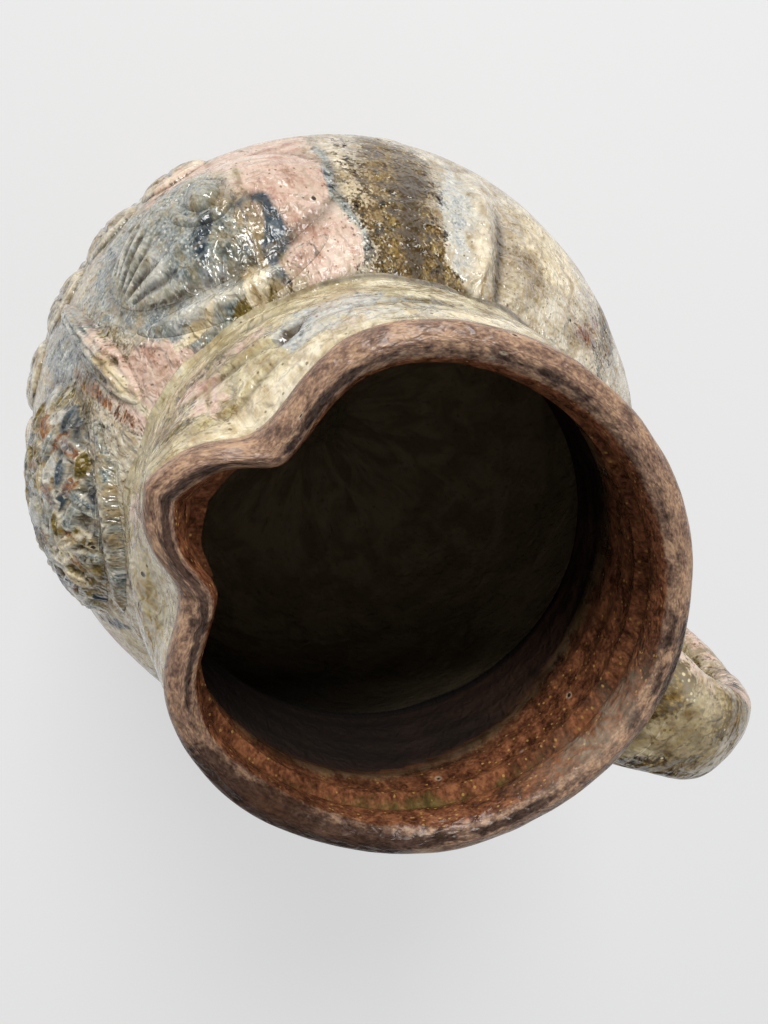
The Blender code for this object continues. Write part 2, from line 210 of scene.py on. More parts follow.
# Dark lines where the edge of a coat met its neighbour: colour and share
breakLines = {
    "salmon": ("#5c4a2e", 0.6), "slate": ("#2f3230", 0.5), "cream": ("#7a6430", 0.6), "pale": ("#8b8674", 0.5),
    "ash": ("#33260c", 0.5),
}
# Marks in the glaze; a window is the levels of a pattern between which a mark comes in, then its shares there
firing = {
    "patternTurn": (0.6, 0.4, 0.0),  # keeps the patterns' own grid off the wheel's lines
    "shadeStops": (0.41, 0.50, 0.59),
    "breakOff": -0.08, "breakWidth": (0.08, 0.02, 0.0), "breakCloud": (0.40, 0.54),
    "amber": "#b39c6c", "amberClear": (("salmon", 0.4), ("pale", 0.5)),
    "amberPools": (("flow", 0.54, 0.36, 0.0, 0.72), ("mottle", 0.50, 0.34, 0.0, 0.66),
                   ("streak", 0.48, 0.32, 0.0, 0.5)),
    "wisps": ((0.46, "#6a5a30"), (0.57, "#efe7d2")), "wispWidth": (0.020, 0.004, 0.0, 0.40),
    "wispTorn": (0.44, 0.54), "wispOnRuns": (0.0, 1.0, 1.0, 0.1),
    "speckSize": 1.1, "speckEdge": (0.34, 0.22, 0.0, 0.8), "speckChance": (0.45, 0.47),
    "speckFlow": (0.46, 0.58),
    "specks": {"slate": "#d3d0bf", "olive": "#c2b381", "navy": "#93989a", "ash": "#d9cda2"},
    "ironSpot": "#5a431f", "ironChance": (0.88, 0.89), "rustSpot": "#b08a4c", "rustChance": (0.80, 0.81),
    # dark glaze pooled in the hollows, also painted shade in the throat; pale crests of thin glaze, in places
    # painted highlights
    "pool": "#3d2d10", "poolTear": 1.2, "poolEdge": (0.75, 1.35, 0.0, 0.92),
    "crest": "#e9dcbf", "crestTorn": (0.4, 0.6),
    "bubbleSpacing": 8.0, "bubbleChance": (0.80, 0.81), "bubbleLip": ("#d8cbb0", (0.14, 0.09, 0.0, 0.3)),
    "bubble": ("#33261b", (0.08, 0.05)),
    "fleck": ("#5a3a24", (0.62, 0.68, 0.0, 0.3)), "liningShade": "#100a06",
}
# Surface: the wet skin carries the gloss; slip, cream and ash dry out duller, and the lip is satin, duller
# still on the side where shade is painted
sheen = {
    "ior": 1.5, "specular": 0.2, "wetRoughness": 0.08, "roughTorn": (0.38, 0.62),
    "dentShare": 1.6, "dentDepth": 0.9,
    "dull": (("salmon", 0.35), ("cream", 0.4), ("ash", 0.6)),
    "satin": 0.75, "satinWeight": 0.15, "satinRoughness": 0.38, "satinDents": 0.5,
    "shadedWeight": 0.2, "shadedSpecular": 0.05,
}


def fireGlaze(name, body, coats, lastCoats, rough, gloss):
    # glassy stoneware glaze: a satin, curdled colour layer with a thin wet skin that lights up on edges
    material = bpy.data.materials.new(name)
    material.use_nodes = True
    tree = material.node_tree
    add = partial(addNode, tree)
    keys = ["hollow"] + [coat[0] for coat in coats + lastCoats]
    keys += ["crest", "inner", "bare"] * bool(coats) + ["lip"] * bool(lastCoats)
    painted = {key: add("Attribute", None, "Fac", attribute_name=key) for key in keys}
    roll = add("Attribute", None, "Vector", attribute_name="roll")
    field, area, layers = {}, {}, []
    for key, (size, detail, roughness, along, around, distortion) in glazePatterns.items():
        scale = (1 / (size * around), 1 / (size * around), 1 / (size * along))
        mapped = add("Mapping", {"Vector": roll, "Scale": scale, "Rotation": firing["patternTurn"]})
        field[key] = add("TexNoise", {"Vector": mapped, "Scale": 1.0, "Detail": detail, "Roughness": roughness,
                                      "Distortion": distortion}, "Fac")
    for key, shares in glazeBlends.items():
        field[key] = 0.0
        for pattern, share in shares:
            field[key] = add("Math", {0: field[pattern], 1: share, 2: field[key]}, operation="MULTIPLY_ADD")

    def showing(*windows):
        # how strongly a mark shows where all its windows let it
        total = None
        for window in windows:
            if isinstance(window, tuple):
                window = add("MapRange", dict(enumerate(window)))
            total = window if total is None else add("Math", {0: total, 1: window}, operation="MULTIPLY")
        return total

    def offContour(source, level):
        return add("Math", {0: add("Math", {0: source, 1: level}, operation="SUBTRACT")}, operation="ABSOLUTE")

    def scatter(size):
        # cells about as wide as size in mm: distance from each middle, and two chances that are its own
        mapped = add("Mapping", {"Vector": roll, "Scale": (1 / size,) * 3})
        cell = add("TexVoronoi", {"Vector": mapped, "Scale": 1.0}, "Distance")
        chance = add("SeparateColor", {0: cell.node.outputs["Color"]}).node.outputs
        return cell, chance[0], chance[1]

    def layCoat(key, pattern, reach, soft, shades, blend):
        torn = add("Math", {0: field[pattern], 1: reach, 2: painted[key]}, operation="MULTIPLY_ADD")
        edge = (1 + reach) / 2
        area[key] = showing((torn, edge - soft, edge + soft))
        thinToThick = zip(firing["shadeStops"], shades)
        layers.append((area[key], add("ValToRGB", {0: field[blend]}, stops=thinToThick)))
        if key in breakLines:
            tone, share = breakLines[key]
            line = (offContour(torn, edge + firing["breakOff"]), *firing["breakWidth"], share)
            layers.append((showing(line, (field["cloud"], *firing["breakCloud"])), tone))

    for coat in coats:
        layCoat(*coat)
    if coats:
        # amber glass lies deeper in the low spots and deepens every colour there; wisps show where glazes met
        clear = showing(*((area[key], 0.0, 1.0, 1.0, share) for key, share in firing["amberClear"]))
        for pattern, *levels in firing["amberPools"]:
            layers.append((showing((field[pattern], *levels), clear), firing["amber"], "MULTIPLY"))
        held = showing((field["torn"], *firing["wispTorn"]), (area["ash"], *firing["wispOnRuns"]))
        for level, tone in firing["wisps"]:
            layers.append((showing((offContour(field["vein"], level), *firing["wispWidth"]), held), tone))
        # crisp specks: golden crystals in the runs, pale sand in the darks, brown iron spots in the creams
        middle, chance, otherChance = scatter(firing["speckSize"])
        dot = showing((middle, *firing["speckEdge"]))
        speck = showing(dot, (chance, *firing["speckChance"]), (field["flow"], *firing["speckFlow"]))
        for key, tone in firing["specks"].items():
            layers.append((showing(speck, area[key]), tone))
        layers.append((showing(dot, (otherChance, *firing["ironChance"])), firing["ironSpot"]))
        for coat in lastCoats:
            layCoat(*coat)
        if "rust" in area:
            layers.append((showing(dot, (chance, *firing["rustChance"]), area["rust"]), firing["rustSpot"]))
        # glaze pools dark in the hollows and thins to pale clay on the crests; in the throat and beside the
        # belly's fold the dark is also painted shade, and some pale crests are painted highlights
        pooledAndShaded = add("Math", {0: field["torn"], 1: firing["poolTear"], 2: painted["hollow"]},
                     operation="MULTIPLY_ADD")
        layers.append((showing((pooledAndShaded, *firing["poolEdge"])), firing["pool"]))
        layers.append((showing(painted["crest"], (field["torn"], *firing["crestTorn"])), firing["crest"]))
        # burst bubbles: few, about 1 mm wide, dark inside with a faint pale lip
        middle, chance = scatter(firing["bubbleSpacing"])[:2]
        for tone, window in (firing["bubbleLip"], firing["bubble"]):
            pit = showing((middle, *window), (chance, *firing["bubbleChance"]))
            layers.append((pit, tone))
        for key, shades, blend in plainCoats:
            thinToThick = zip(firing["shadeStops"], shades)
            layers.append((painted[key], add("ValToRGB", {0: field[blend]}, stops=thinToThick)))
    else:
        tone, window = firing["fleck"]  # rust flecks in the lining
        # painted shade: the lining darkens where its hollow share rises, deeper in the vessel
        layers += [(showing((field["mottle"], *window)), tone), (painted["hollow"], firing["liningShade"])]

    thinToThick = zip(firing["shadeStops"], body)
    colour = add("ValToRGB", {0: field["depth" if coats else "cloud"]}, stops=thinToThick)
    for share, top, *mode in layers:
        top = linear(top) if isinstance(top, str) else top
        colour = add("Mix", {0: share, 6: colour, 7: top}, 2, data_type="RGBA",
                     blend_type=mode[0] if mode else "MIX")
    swell = add("Math", {0: field["dent"], 1: sheen["dentShare"], 2: field["skin"]}, operation="MULTIPLY_ADD")
    weight, wetness, specular, dents = gloss, sheen["wetRoughness"], sheen["specular"], 1.0
    if coats:
        swell = add("Math", {0: swell, 1: pit}, operation="SUBTRACT")
    if coats and not lastCoats:
        weight = showing(*((area[key], 0.0, 1.0, 1.0, share) for key, share in sheen["dull"]))
        weight = add("Math", {0: weight, 1: gloss}, operation="MULTIPLY")
    if lastCoats:
        lip, satin = painted["lip"], sheen["satin"]
        weight = showing((lip, 0.0, satin, gloss, sheen["satinWeight"]),
                         (lip, satin, 1.0, 1.0, sheen["shadedWeight"]))
        wetness = showing((lip, 0.0, satin, wetness, sheen["satinRoughness"]))
        specular = showing((lip, satin, 1.0, specular, sheen["shadedSpecular"]))
        dents = showing((lip, 0.0, satin, 1.0, sheen["satinDents"]))
    raised = add("Bump", {"Height": swell, "Strength": dents, "Distance": sheen["dentDepth"] * millimetre})
    feed(tree, tree.nodes["Principled BSDF"].inputs, {
        "Base Color": colour, "Roughness": showing((field["torn"], *sheen["roughTorn"], *rough)),
        "Normal": raised, "Coat Normal": raised, "IOR": sheen["ior"], "Specular IOR Level": specular,
        "Coat Weight": weight, "Coat Roughness": wetness,
    })
    return material


# Each glaze: name, colours thin to thick, coats, last coats, roughness thin to thick, weight of the wet skin
glazeKinds = {
    # ash glaze: wood ash melted to a mottled cream and taupe skin, half gloss
    "ash": ("ashGlaze", ("#dcd5c3", "#c9c0aa", "#a99e87"), wallCoats, [], (0.42, 0.22), 0.85),
    # iron glaze: brown on the lip, where the flame burnt the ash off, with painted shade on one side; cream and
    # olive below
    "iron": ("ironLipGlaze", ("#dcd3b6", "#c8bc95", "#9c8d5e"), wallCoats, lipCoats, (0.40, 0.20), 1.0),
    # beige ash glaze on the handle, duller where hands hold it
    "beige": ("beigeAshGlaze", ("#b9ab88", "#9a8b66", "#6d5f3f"), wallCoats, [], (0.44, 0.24), 0.7),
    # navy iron glaze on the eyes: thick, dark and wet
    "navy": ("navyIronGlaze", ("#85867c", "#5a5f5c", "#363c3d"), wallCoats, [], (0.24, 0.10), 1.0),
    # slate glaze on relief: greyer, glassier, broken by salmon slip
    "slate": ("slateGlazeOnSlip", ("#d2c7ab", "#aea288", "#7d735c"), wallCoats, [], (0.38, 0.18), 1.0),
    # dull brown lining of the neck: little light comes back out of the vessel
    "dark": ("brownLiningGlaze", ("#442b1d", "#382318", "#2b1a11"), [], [], (0.95, 0.80), 0.0),
    # umber lining low in the belly, a little lighter so that the floor can just be made out
    "umber": ("umberLiningGlaze", ("#b7a37e", "#ab9773", "#9d8a68"), [], [], (0.95, 0.80), 0.0),
}
glazes = {key: fireGlaze(*kind) for key, kind in glazeKinds.items()}
print("glazes mixed:", len(glazes))


# Belly

belly = {
    "radius": 85.0, "height": 74.0, "shoulder": 102.3, "flank": 91.0, "wall": 6.5, "floor": 9.0,
    "chamfer": 2.0, "slump": (-4.0, -2.0, 0.0), "slumpPeak": 27 / 4, "cols": 620, "rows": 240, "insideRows": 44,
    "footRings": (0.25, 0.5, 0.75, 0.93, 1.0), "floorRings": (0.85, 0.55, 0.25), "floorTurn": 0.7686,
    "footTip": 50.0, "floorTip": -110.0,
    # marks of the hand: waves as height, size and seed; folds as place round the belly, half width, height
    "waves": ((0.7, 38, 1), (0.25, 11, 2)), "ringTall": 0.12, "ringPitch": 6.0, "ringWander": (2, 60, 3),
    "folds": ((-122, 4.0, 1.6), (-129, 3.5, -0.9)), "foldRise": (36, 58), "neckFade": (84, 92),
    "neckCalm": 0.6, "footFade": (-82, -70),
    # joint with the neck: its groove is filled in places and smeared over where the spout was pulled
    "jointDrop": 1.0, "jointHalf": 2.2, "jointDark": 0.3, "jointFill": 0.7, "jointWave": (0.5, 13, 51),
    "smear": (-2, 62, 0.8),
    # pooled glaze: round the relief, beside the fold (also a painted shadow) and along the middle of the run;
    # pale on the fold, also a painted highlight
    "contour": 0.65, "groove": (-128, 2.0, 0.8), "foldTop": (-121, 3, 0.8), "foldGlazed": (45, 65),
    "core": (-101, 4.5, 0.85), "coreWander": (3, 14, 55), "coreRise": (34, 60),
    # lining: painted shade, darker upwards, lighter under the handle and darkest at the throat; bare clay at
    # the foot
    "dim": (-75, 45, 0.96), "clear": (258, 48, 0.8), "throat": (50, 75), "wiped": 4.0, "wipedBare": 0.8,
}
neck = {
    "foot": 53.5, "waist": 47.8, "height": 44.0, "wall": 7.0, "flare": 0.5, "lip": 49.3, "lipThick": 6.7,
    "lipHeight": 8.0, "lipTilt": 1.4, "dip": radians(4.5), "spoutTurn": radians(2.8), "reach": 4.6,
    "reachSpread": radians(16), "square": 5, "depth": 32.0, "pinch": 7.9, "pinchAt": radians(21.5),
    "pinchSpread": radians(20), "slip": 0.3, "cols": 720, "chartRadius": 50, "chartHeight": 40,
    # section: rows of radius, level and place at the foot, then how wall, lip and inside go on
    "footRows": [(54.0, -2.6, 0.0), (54.7, -1.5, 0.01), (54.6, -0.8, 0.02), (54.2, -0.1, 0.03),
                 (53.8, 0.7, 0.04)],
    "wallFrom": 1.4, "wallGap": 1.0, "wallRows": 52, "footFlare": 0.25, "footFlareHeight": 1.5,
    "placeFrom": 0.05, "placeSpan": 0.9, "lipRows": 46, "lipStart": -0.30 * pi, "lipSweep": 1.55 * pi,
    "insideDrop": 2.5, "insideEnd": -0.4, "insideRows": 40,
    # stretches of the section, by place
    "outsideFrom": (0.06, 0.16), "outsideTo": (1.2, 0.98), "lipFrom": (0.95, 1.1), "lipTo": (2.1, 1.95),
    "insideFrom": (1.9, 2.1), "footTo": (0.12, 0.03),
    # marks of the hand: waves as height, size and seed
    "waves": ((0.4, 13, 5), (0.12, 5, 6), (0.12, 3.5, 7)), "ringTall": 0.10, "ringPitch": 4.6, "ringSlant": 40,
    "lipWaves": ((0.5, 16, 8), (0.15, 5, 10)), "lipGroove": (1.42, 0.06, 0.5),
    "footWave": (0.9, 8, 49), "insideTall": 0.25, "insidePitch": 7,
    "channelHalf": 13, "channelFrom": (1.75, 2.2, 4.0), "channelTo": (2.8, 2.35),
    "folds": [  # turn and level of the middle, slope, half width, depth, half length
        (-21, 21.5, -0.12, 0.8, -0.4, 17), (-22, 19.4, -0.12, 1.6, 0.45, 17), (-25, 29.5, 0.13, 0.7, -0.35, 14),
        (-25, 27.4, 0.13, 1.5, 0.4, 14), (-30, 7.0, -0.39, 1.2, -0.45, 17), (-30, 4.4, -0.39, 1.8, 0.5, 16),
        (-12, 14.0, -0.3, 0.8, -0.35, 9), (-13, 12.0, -0.3, 1.4, 0.4, 10), (-60, 24.0, -0.05, 1.0, -0.3, 18),
        (-75, 14.0, 0.06, 1.6, 0.35, 22), (-50, 16.0, -0.1, 0.7, -0.3, 10), (-95, 20.0, 0.08, 0.9, -0.3, 20),
        (16, 18.0, 0.25, 1.0, -0.45, 9), (18, 15.6, 0.25, 1.8, 0.5, 10), (30, 10.0, 0.3, 1.2, -0.4, 14),
        (6, 26.0, -0.4, 0.9, -0.40, 7),
    ],
    "nick": (-35.5, 22, 0.45, 1.6, -1.4, 3.4),  # a deep nick between two folds, in the same order
    # prints of the fingers that steadied the spout: turn, level, half sizes, height
    "prints": [(-35.5, 27, 5, 3.5, -0.7), (33, 29, 9, 6, -2.0), (33, 21, 12, 3, 0.8)],
}
belly["girth"] = 2 * pi * belly["radius"]
jointAngle = np.arccos(neck["foot"] / belly["radius"])
jointRise = belly["shoulder"] * jointAngle
jointHeight = belly["height"] + belly["shoulder"] * sin(jointAngle)
neckBase = jointHeight + neck["slip"]


def rollOut(u, v):
    # the wall rolled out without a seam: round the belly, and along its curve as height
    turn = u / belly["radius"]
    return np.stack((belly["radius"] * np.sin(turn), -belly["radius"] * np.cos(turn), v + 0 * u), -1)


def handUneven(u, v):
    at = rollOut(u, v)
    rings = np.sin(2 * pi * v / belly["ringPitch"] + uneven(at, belly["ringWander"]))
    fade = ramp(v, *belly["neckFade"])
    fold = sum(bump(u, *fold) for fold in belly["folds"]) * ramp(v, *belly["foldRise"]) * (1 - fade)
    wave = uneven(at, *belly["waves"]) + belly["ringTall"] * rings + fold
    return wave * ramp(v, *belly["footFade"]) * (1 - belly["neckCalm"] * fade)


def leanAt(height):
    # the soft clay sank a little to one side; the foot and the neck stayed in place
    share = np.clip(height / jointHeight, 0, 1)[..., None]
    return np.array(belly["slump"]) * belly["slumpPeak"] * share * share * (1 - share)


def onBelly(u, v, lift):
    u, v, lift = np.broadcast_arrays(u, v, lift)
    rise = np.where(v > 0, belly["shoulder"], belly["flank"])
    turn, t = u / belly["radius"], v / rise
    outward, upward = np.cos(t) / belly["radius"], np.sin(t) / rise
    size = np.hypot(outward, upward)
    out = lift + handUneven(u, v)
    radius = belly["radius"] * np.cos(t) + out * outward / size
    height = belly["height"] + rise * np.sin(t) + out * upward / size
    return np.stack((radius * np.sin(turn), -radius * np.cos(turn), height), -1) + leanAt(height)


# Brushed and fumed areas: round the belly, along its curve, half sizes and strength
washes = {
    "salmon": [(-58, 32, 22, 14, 1.2), (-69, 58, 15, 20, 1.2), (-71, 80, 10, 14, 1.1), (-13, 84, 15, 8, 1.7),
               (-45, 30, 16, 8, 0.8), (2, 84, 6, 10, 0.5), (97, 48, 16, 16, 0.9), (-4, 62, 4, 14, 0.7)],
    "slate": [(-35, 60, 16, 19, 1.2), (-42, 80, 12, 11, 1.2), (-28, 74, 12, 12, 0.9), (-20, 52, 14, 22, 1.1),
              (8, 46, 10, 18, 0.9), (45, 66, 26, 22, 0.7), (-83, 62, 1.7, 26, 1.0), (20, 10, 40, 14, 0.5),
              (-40, 5, 30, 12, 0.5), (-13, 85, 12, 7, -1.2)],
    "olive": [(-32, 44, 10, 14, 0.7), (-26, 90, 14, 1.8, 0.9), (-48, 90, 14, 2.2, 1.0), (-7, 66, 3, 9, 0.7),
              (12, 66, 8, 10, 0.8), (60, 74, 12, 10, 0.8), (35, 48, 10, 10, 0.8), (0, -14, 40, 10, 0.5),
              (-13, 84, 12, 6, -1.0)],
    "navy": [(-60, 76, 3.0, 13, 1.2), (-43, 64, 2.8, 9, 1.1), (80, 70, 2.0, 13, 0.9), (-54, 64, 7, 2.4, 0.6),
             (25, 68, 9, 7, 0.8), (18, 52, 6, 9, 0.8), (50, 56, 10, 7, 0.8), (36, 82, 8, 4, 0.7)],
    "orange": [(48, 74, 12, 6, 0.9), (28, 60, 6, 6, 0.8), (66, 62, 8, 8, 0.7), (6, 70, 3, 18, 0.9),
               (40, 44, 10, 6, 0.7), (-166, 76, 8, 5, 0.75), (-171, 66, 5, 8, 0.6)],
    "cream": [(-52, 88, 3.5, 8, 1.3), (-87, 66, 2.5, 26, 0.9), (86, 68, 17, 16, 1.0), (-147, 56, 18, 20, 0.8),
              (-1, 80, 3, 14, 0.8), (-30, -40, 60, 16, 0.5), (-30, 82, 14, 1.8, 0.9)],
    "ash": [(-97, 52, 9, 26, 1.15), (-96, 80, 11, 14, 1.2), (-104, 90, 18, 3, 1.1), (-178, 60, 8, 26, 0.8),
            (150, 52, 9, 30, 1.0), (205, 66, 12, 22, 0.9), (236, 20, 7, 34, 0.7)],
    "pale": [(-113, 66, 6.0, 24, 1.1), (-36, 80, 14, 5, 1.1), (-26, 66, 5, 7, 0.7), (46, 60, 16, 12, 0.5),
             (140, 56, 4, 26, 0.8), (-186, 58, 4, 20, 0.6)],
    "taupe": [(-126, 70, 12, 18, 0.8), (-165, 76, 8, 8, 1.2), (175, 20, 34, 30, 0.7), (-210, 10, 40, 34, 0.7),
              (110, -10, 30, 24, 0.6), (-110, -20, 34, 22, 0.7), (0, -50, 60, 14, 0.7), (-140, 74, 10, 8, 0.6)],
}
# The kiln tears every area, so that edges wander by several millimetres, and the ash came down in strands
kiln = {
    "tearRound": ((4.5, 19, 41), (2.2, 6, 42)), "tearAlong": ((5.0, 23, 43), (2.2, 7, 44)), "most": 1.2,
    "strandStretch": (1, 1, 0.3), "strand": (1, 6, 52), "clot": (0.5, 9, 53), "runs": 1.25, "runsVary": 0.45,
}


def washAt(u, v, spots):
    total = np.zeros(np.broadcast(u, v).shape)
    for u0, v0, halfU, halfV, strength in spots:
        across = (u - u0 + belly["girth"] / 2) % belly["girth"] - belly["girth"] / 2
        total = total + strength * np.exp(-(across / halfU) ** 2 - ((v - v0) / halfV) ** 2)
    return np.clip(total, 0, kiln["most"])


def washAll(u, v):
    at = rollOut(u, v)
    u, v = u + uneven(at, *kiln["tearRound"]), v + uneven(at, *kiln["tearAlong"])
    tints = {key: washAt(u, v, spots) for key, spots in washes.items()}
    strands = uneven(at * kiln["strandStretch"], kiln["strand"]) + uneven(at, kiln["clot"])
    tints["ash"] = tints["ash"] * (kiln["runs"] + kiln["runsVary"] * strands)
    return tints


# Owl relief: where each piece lies on the belly; line is the strength and half width of its dark contour

face = {
    "halfWidth": 34.0, "halfHeight": 22.0, "thick": 4.6, "rise": jointRise - 33.0, "off": 47.0,
    "line": (0.7, 2.2), "mesh": (70, 280), "dome": 3, "domeSoft": 1.3, "edge": (0.93, 1.0, 0.35),
    # fan of strokes on one lobe
    "strokes": 26, "fanFrom": (1.3, 0.1), "fanWander": (2.0, 16, 21), "fanDeep": 1.0, "fanZone": (0.30, 0.66),
    "fanTo": (1.0, 0.88), "fanShow": 0.75, "fanVary": (0.25, 7, 20), "fanDark": 0.9, "fanPale": 0.7,
    "lumps": (0.5, 12, 22), "upperEdge": (0.93, 0.05, 0.5), "upperFrom": (0.2, 0.7),
    # dabs of clay on the other
    "seed": 5, "dabs": 74, "dabTurn": pi * (3 - 5 ** 0.5), "dabReach": 0.93, "dabTall": (0.7, 1.5),
    "dabLong": 5.4, "dabWide": 2.3, "dabWander": ((0.6, 4, 18), (0.6, 4, 28)), "dabTo": (1.0, 0.86),
    "press": (0, 0.6, 0.45), "pressTo": (0.8, 0.5), "dabRim": (0.78, 0.14, 0.5),
    "dabCoats": ("orange", "olive", "navy", "slate", "pale", "cream"), "dabGlaze": 0.75, "dabOther": -0.2,
    "dabGlazeTo": (1.0, 0.6), "between": (0.7, 0.0, 0.42),
}
eye = {
    "ring": 7.6, "ringHalf": 1.8, "ringTall": 1.3, "seat": 3.6, "steps": 88, "sides": 22, "wobble": (1, 5, 31),
    "wobbleRadius": 9, "wobbleHalf": 0.25, "wobbleOut": 0.5, "wobbleTall": 0.35, "hood": 0.3,
    "ringDark": (-0.2, 0.5, 0.6), "ringPale": 0.2, "ringPaleVary": 0.3, "ringPaleFrom": (0.6, 1.0),
    "pellet": 5.2, "pelletTop": 6.8, "pelletSeat": 2.6, "pelletRound": 2.4, "pelletWave": (0.3, 3, 23),
    "mesh": (16, 64), "sink": -2.0, "pelletDark": (0.88, 1.0, 0.6), "pelletHighlight": (0.5, 0.3, 0.4),
    "tinge": {"salmon": -1, "navy": -0.5, "slate": 0.4},
}
brow = {
    "width": 8.0, "thick": 2.6, "inner": radians(150), "outer": radians(45), "off": 5.2, "mesh": (26, 260),
    "combs": 20, "combSlant": 0.18, "combFrom": (0.05, 0.25), "combShow": 0.5, "combVary": (0.5, 9, 17),
    "combDeep": 0.35, "combDark": 0.32, "dome": 2, "domeSoft": 1.3, "wave": (0.5, 7, 24),
    "edge": (0.85, 1.0, 0.3), "pale": (0.4, 0.8, 0.7), "tinge": {"slate": 0.3, "salmon": 0.1},
}
beak = {
    "half": 7.0, "halfHeight": 28.0, "rise": jointRise - 34.0, "thick": 3.4, "taper": 0.6, "line": (0.5, 1.0),
    "mesh": (30, 120), "roundAcross": 1.2, "roundAlong": 0.8, "steep": 1.2, "combs": 2.5, "combTo": (1.0, 0.8),
    "combWander": (1.2, 12, 29), "combDeep": 0.3, "combDark": 0.35, "nostril": ((0.5, 0.16), (0.55, 0.07)),
    "wave": (0.4, 6, 25), "slateWave": (0.5, 9, 54), "pale": (0.1, 0.4, 0.15),
    "tinge": {"orange": 0.2, "salmon": 0.2, "slate": 0.1},
}
wing = {
    "half": 22.0, "halfHeight": 40.0, "rise": 2.0, "thick": 3.4, "taper": 0.5, "sweep": 10.0, "off": 108.0,
    "line": (0.7, 1.4), "mesh": (60, 240), "rows": 7, "lobes": 2.4, "lobesLost": 0.8, "scallop": 0.42,
    "shaft": 0.12, "shaftFrom": (0.1, 0.4), "shaftDeep": 0.3, "melt": (0.4, -0.35), "meltDeep": 0.6,
    "soft": 0.8, "stepTall": 1.1, "stepCurve": 1.5, "stepEnd": (0.86, 1.0), "stepDark": 0.7,
    "wave": (0.3, 9, 26), "edge": (0.93, 1.0, 0.5), "pale": (0.78, 0.08, 0.6),
}
feather = {
    "half": 10.0, "halfHeight": 9.5, "thick": 2.6, "counts": (5, 4, 3), "gap": 1.2, "line": (1.0, 1.1),
    "mesh": (22, 84), "soft": 0.8, "slope": (0.8, 0.25), "shaft": 0.07, "shaftTo": (0.8, 0.5),
    "shaftDeep": 0.45, "shaftDark": 0.8, "barbs": (3.4, 2.2), "barbFrom": (0.08, 0.2), "barbTo": (0.9, 0.75),
    "barbDeep": 0.3, "barbDark": 0.45, "wave": (0.25, 5, 27), "edge": (0.93, 1.0, 0.4),
    "pale": (0.82, 0.1, 0.9), "tinge": {"olive": 0.25, "orange": 0.2},
}
feather["top"] = min(face["rise"] - face["halfHeight"], beak["rise"] - beak["halfHeight"]) - feather["gap"]


def tapered(piece, q):
    return piece["half"] * (1 - piece["taper"] * (1 - q) / 2)


def faceChart(side, p, q):
    return side * face["off"] + face["halfWidth"] * p, face["rise"] + face["halfHeight"] * q


def pelletChart(side, p, q):
    return side * face["off"] + eye["pellet"] * p, face["rise"] + eye["pellet"] * q


def browChart(side, p, q):
    bearing = (brow["inner"] + brow["outer"]) / 2 + p * (brow["outer"] - brow["inner"]) / 2
    out = brow["off"] + q * brow["width"] / 2
    return (side * (face["off"] + (face["halfWidth"] + out) * np.cos(bearing)),
            face["rise"] + (face["halfHeight"] + out) * np.sin(bearing))


def beakChart(p, q):
    return tapered(beak, q) * p, beak["rise"] + beak["halfHeight"] * q


def wingChart(side, p, q):
    across = wing["off"] + tapered(wing, q) * p - wing["sweep"] * np.minimum(q, 0)
    return side * across, wing["rise"] + wing["halfHeight"] * q


def featherChart(u0, v0, p, q):
    return u0 + feather["half"] * p, v0 + feather["halfHeight"] * q


def featherPlaces():
    for row, count in enumerate(feather["counts"]):
        along = feather["top"] - feather["halfHeight"] - row * (2 * feather["halfHeight"] + feather["gap"])
        for place in range(count):
            yield row + 1, place + 1, (place - (count - 1) / 2) * (2 * feather["half"] + feather["gap"]), along


def contourAt(u, v):
    # dark line of pooled glaze round the relief, gone a few millimetres away from an outline
    outlines = []
    for side in (-1, 1):
        outlines.append((face, (u - side * face["off"]) / face["halfWidth"],
                         (v - face["rise"]) / face["halfHeight"], face["halfHeight"]))
        q = (v - wing["rise"]) / wing["halfHeight"]
        half = tapered(wing, np.clip(q, -1, 1))
        outlines.append((wing, (side * u - wing["off"] + wing["sweep"] * np.minimum(q, 0)) / half, q, half))
    q = (v - beak["rise"]) / beak["halfHeight"]
    half = tapered(beak, np.clip(q, -1, 1))
    outlines.append((beak, u / half, q, half))
    for row, place, u0, v0 in featherPlaces():
        p, q = (u - u0) / feather["half"], (v - v0) / feather["halfHeight"]
        outlines.append((feather, p, q, feather["half"]))
    line = np.zeros(np.broadcast(u, v).shape)
    for piece, p, q, half in outlines:
        strength, width = piece["line"]
        line = np.maximum(line, bump((np.hypot(p, q) - 1) * half, 0, width, strength))
    return line


def bellyTints(u, v, kind, lowest):
    tints = washAll(u, v)
    fill = 0.5 + uneven(rollOut(u, 0 * v), belly["jointWave"])
    seam = (belly["jointDark"] + belly["jointFill"] * fill) * (1 - bump(u, *belly["smear"]))
    folded = ramp(v, *belly["foldGlazed"])
    core = bump(u + uneven(rollOut(u, v), belly["coreWander"]), *belly["core"]) * ramp(v, *belly["coreRise"])
    seam = seam * bump(v, jointRise - belly["jointDrop"], belly["jointHalf"])
    # beside the fold the pooled glaze is also a painted shadow
    pooledAndShaded = (belly["contour"] * contourAt(u, v), seam, bump(u, *belly["groove"]) * folded, core)
    # painted shade inside the belly: darker upwards and at the throat, lighter under the handle
    dim = ramp(v, *belly["dim"]) * (1 - bump(u % belly["girth"], *belly["clear"]))
    dim = np.maximum(dim, ramp(v, *belly["throat"]))
    tints["hollow"] = np.where(kind == "inside", dim, np.max(pooledAndShaded, axis=0))
    # the pale paint on top of the fold is also a painted highlight
    tints["crest"] = bump(u, *belly["foldTop"]) * folded
    tints["inner"] = (kind == "inside") * 1.0
    wiped = ramp(v, lowest + belly["wiped"], lowest, belly["wipedBare"])
    tints["bare"] = np.where(kind == "foot", 1.0, wiped)
    return tints


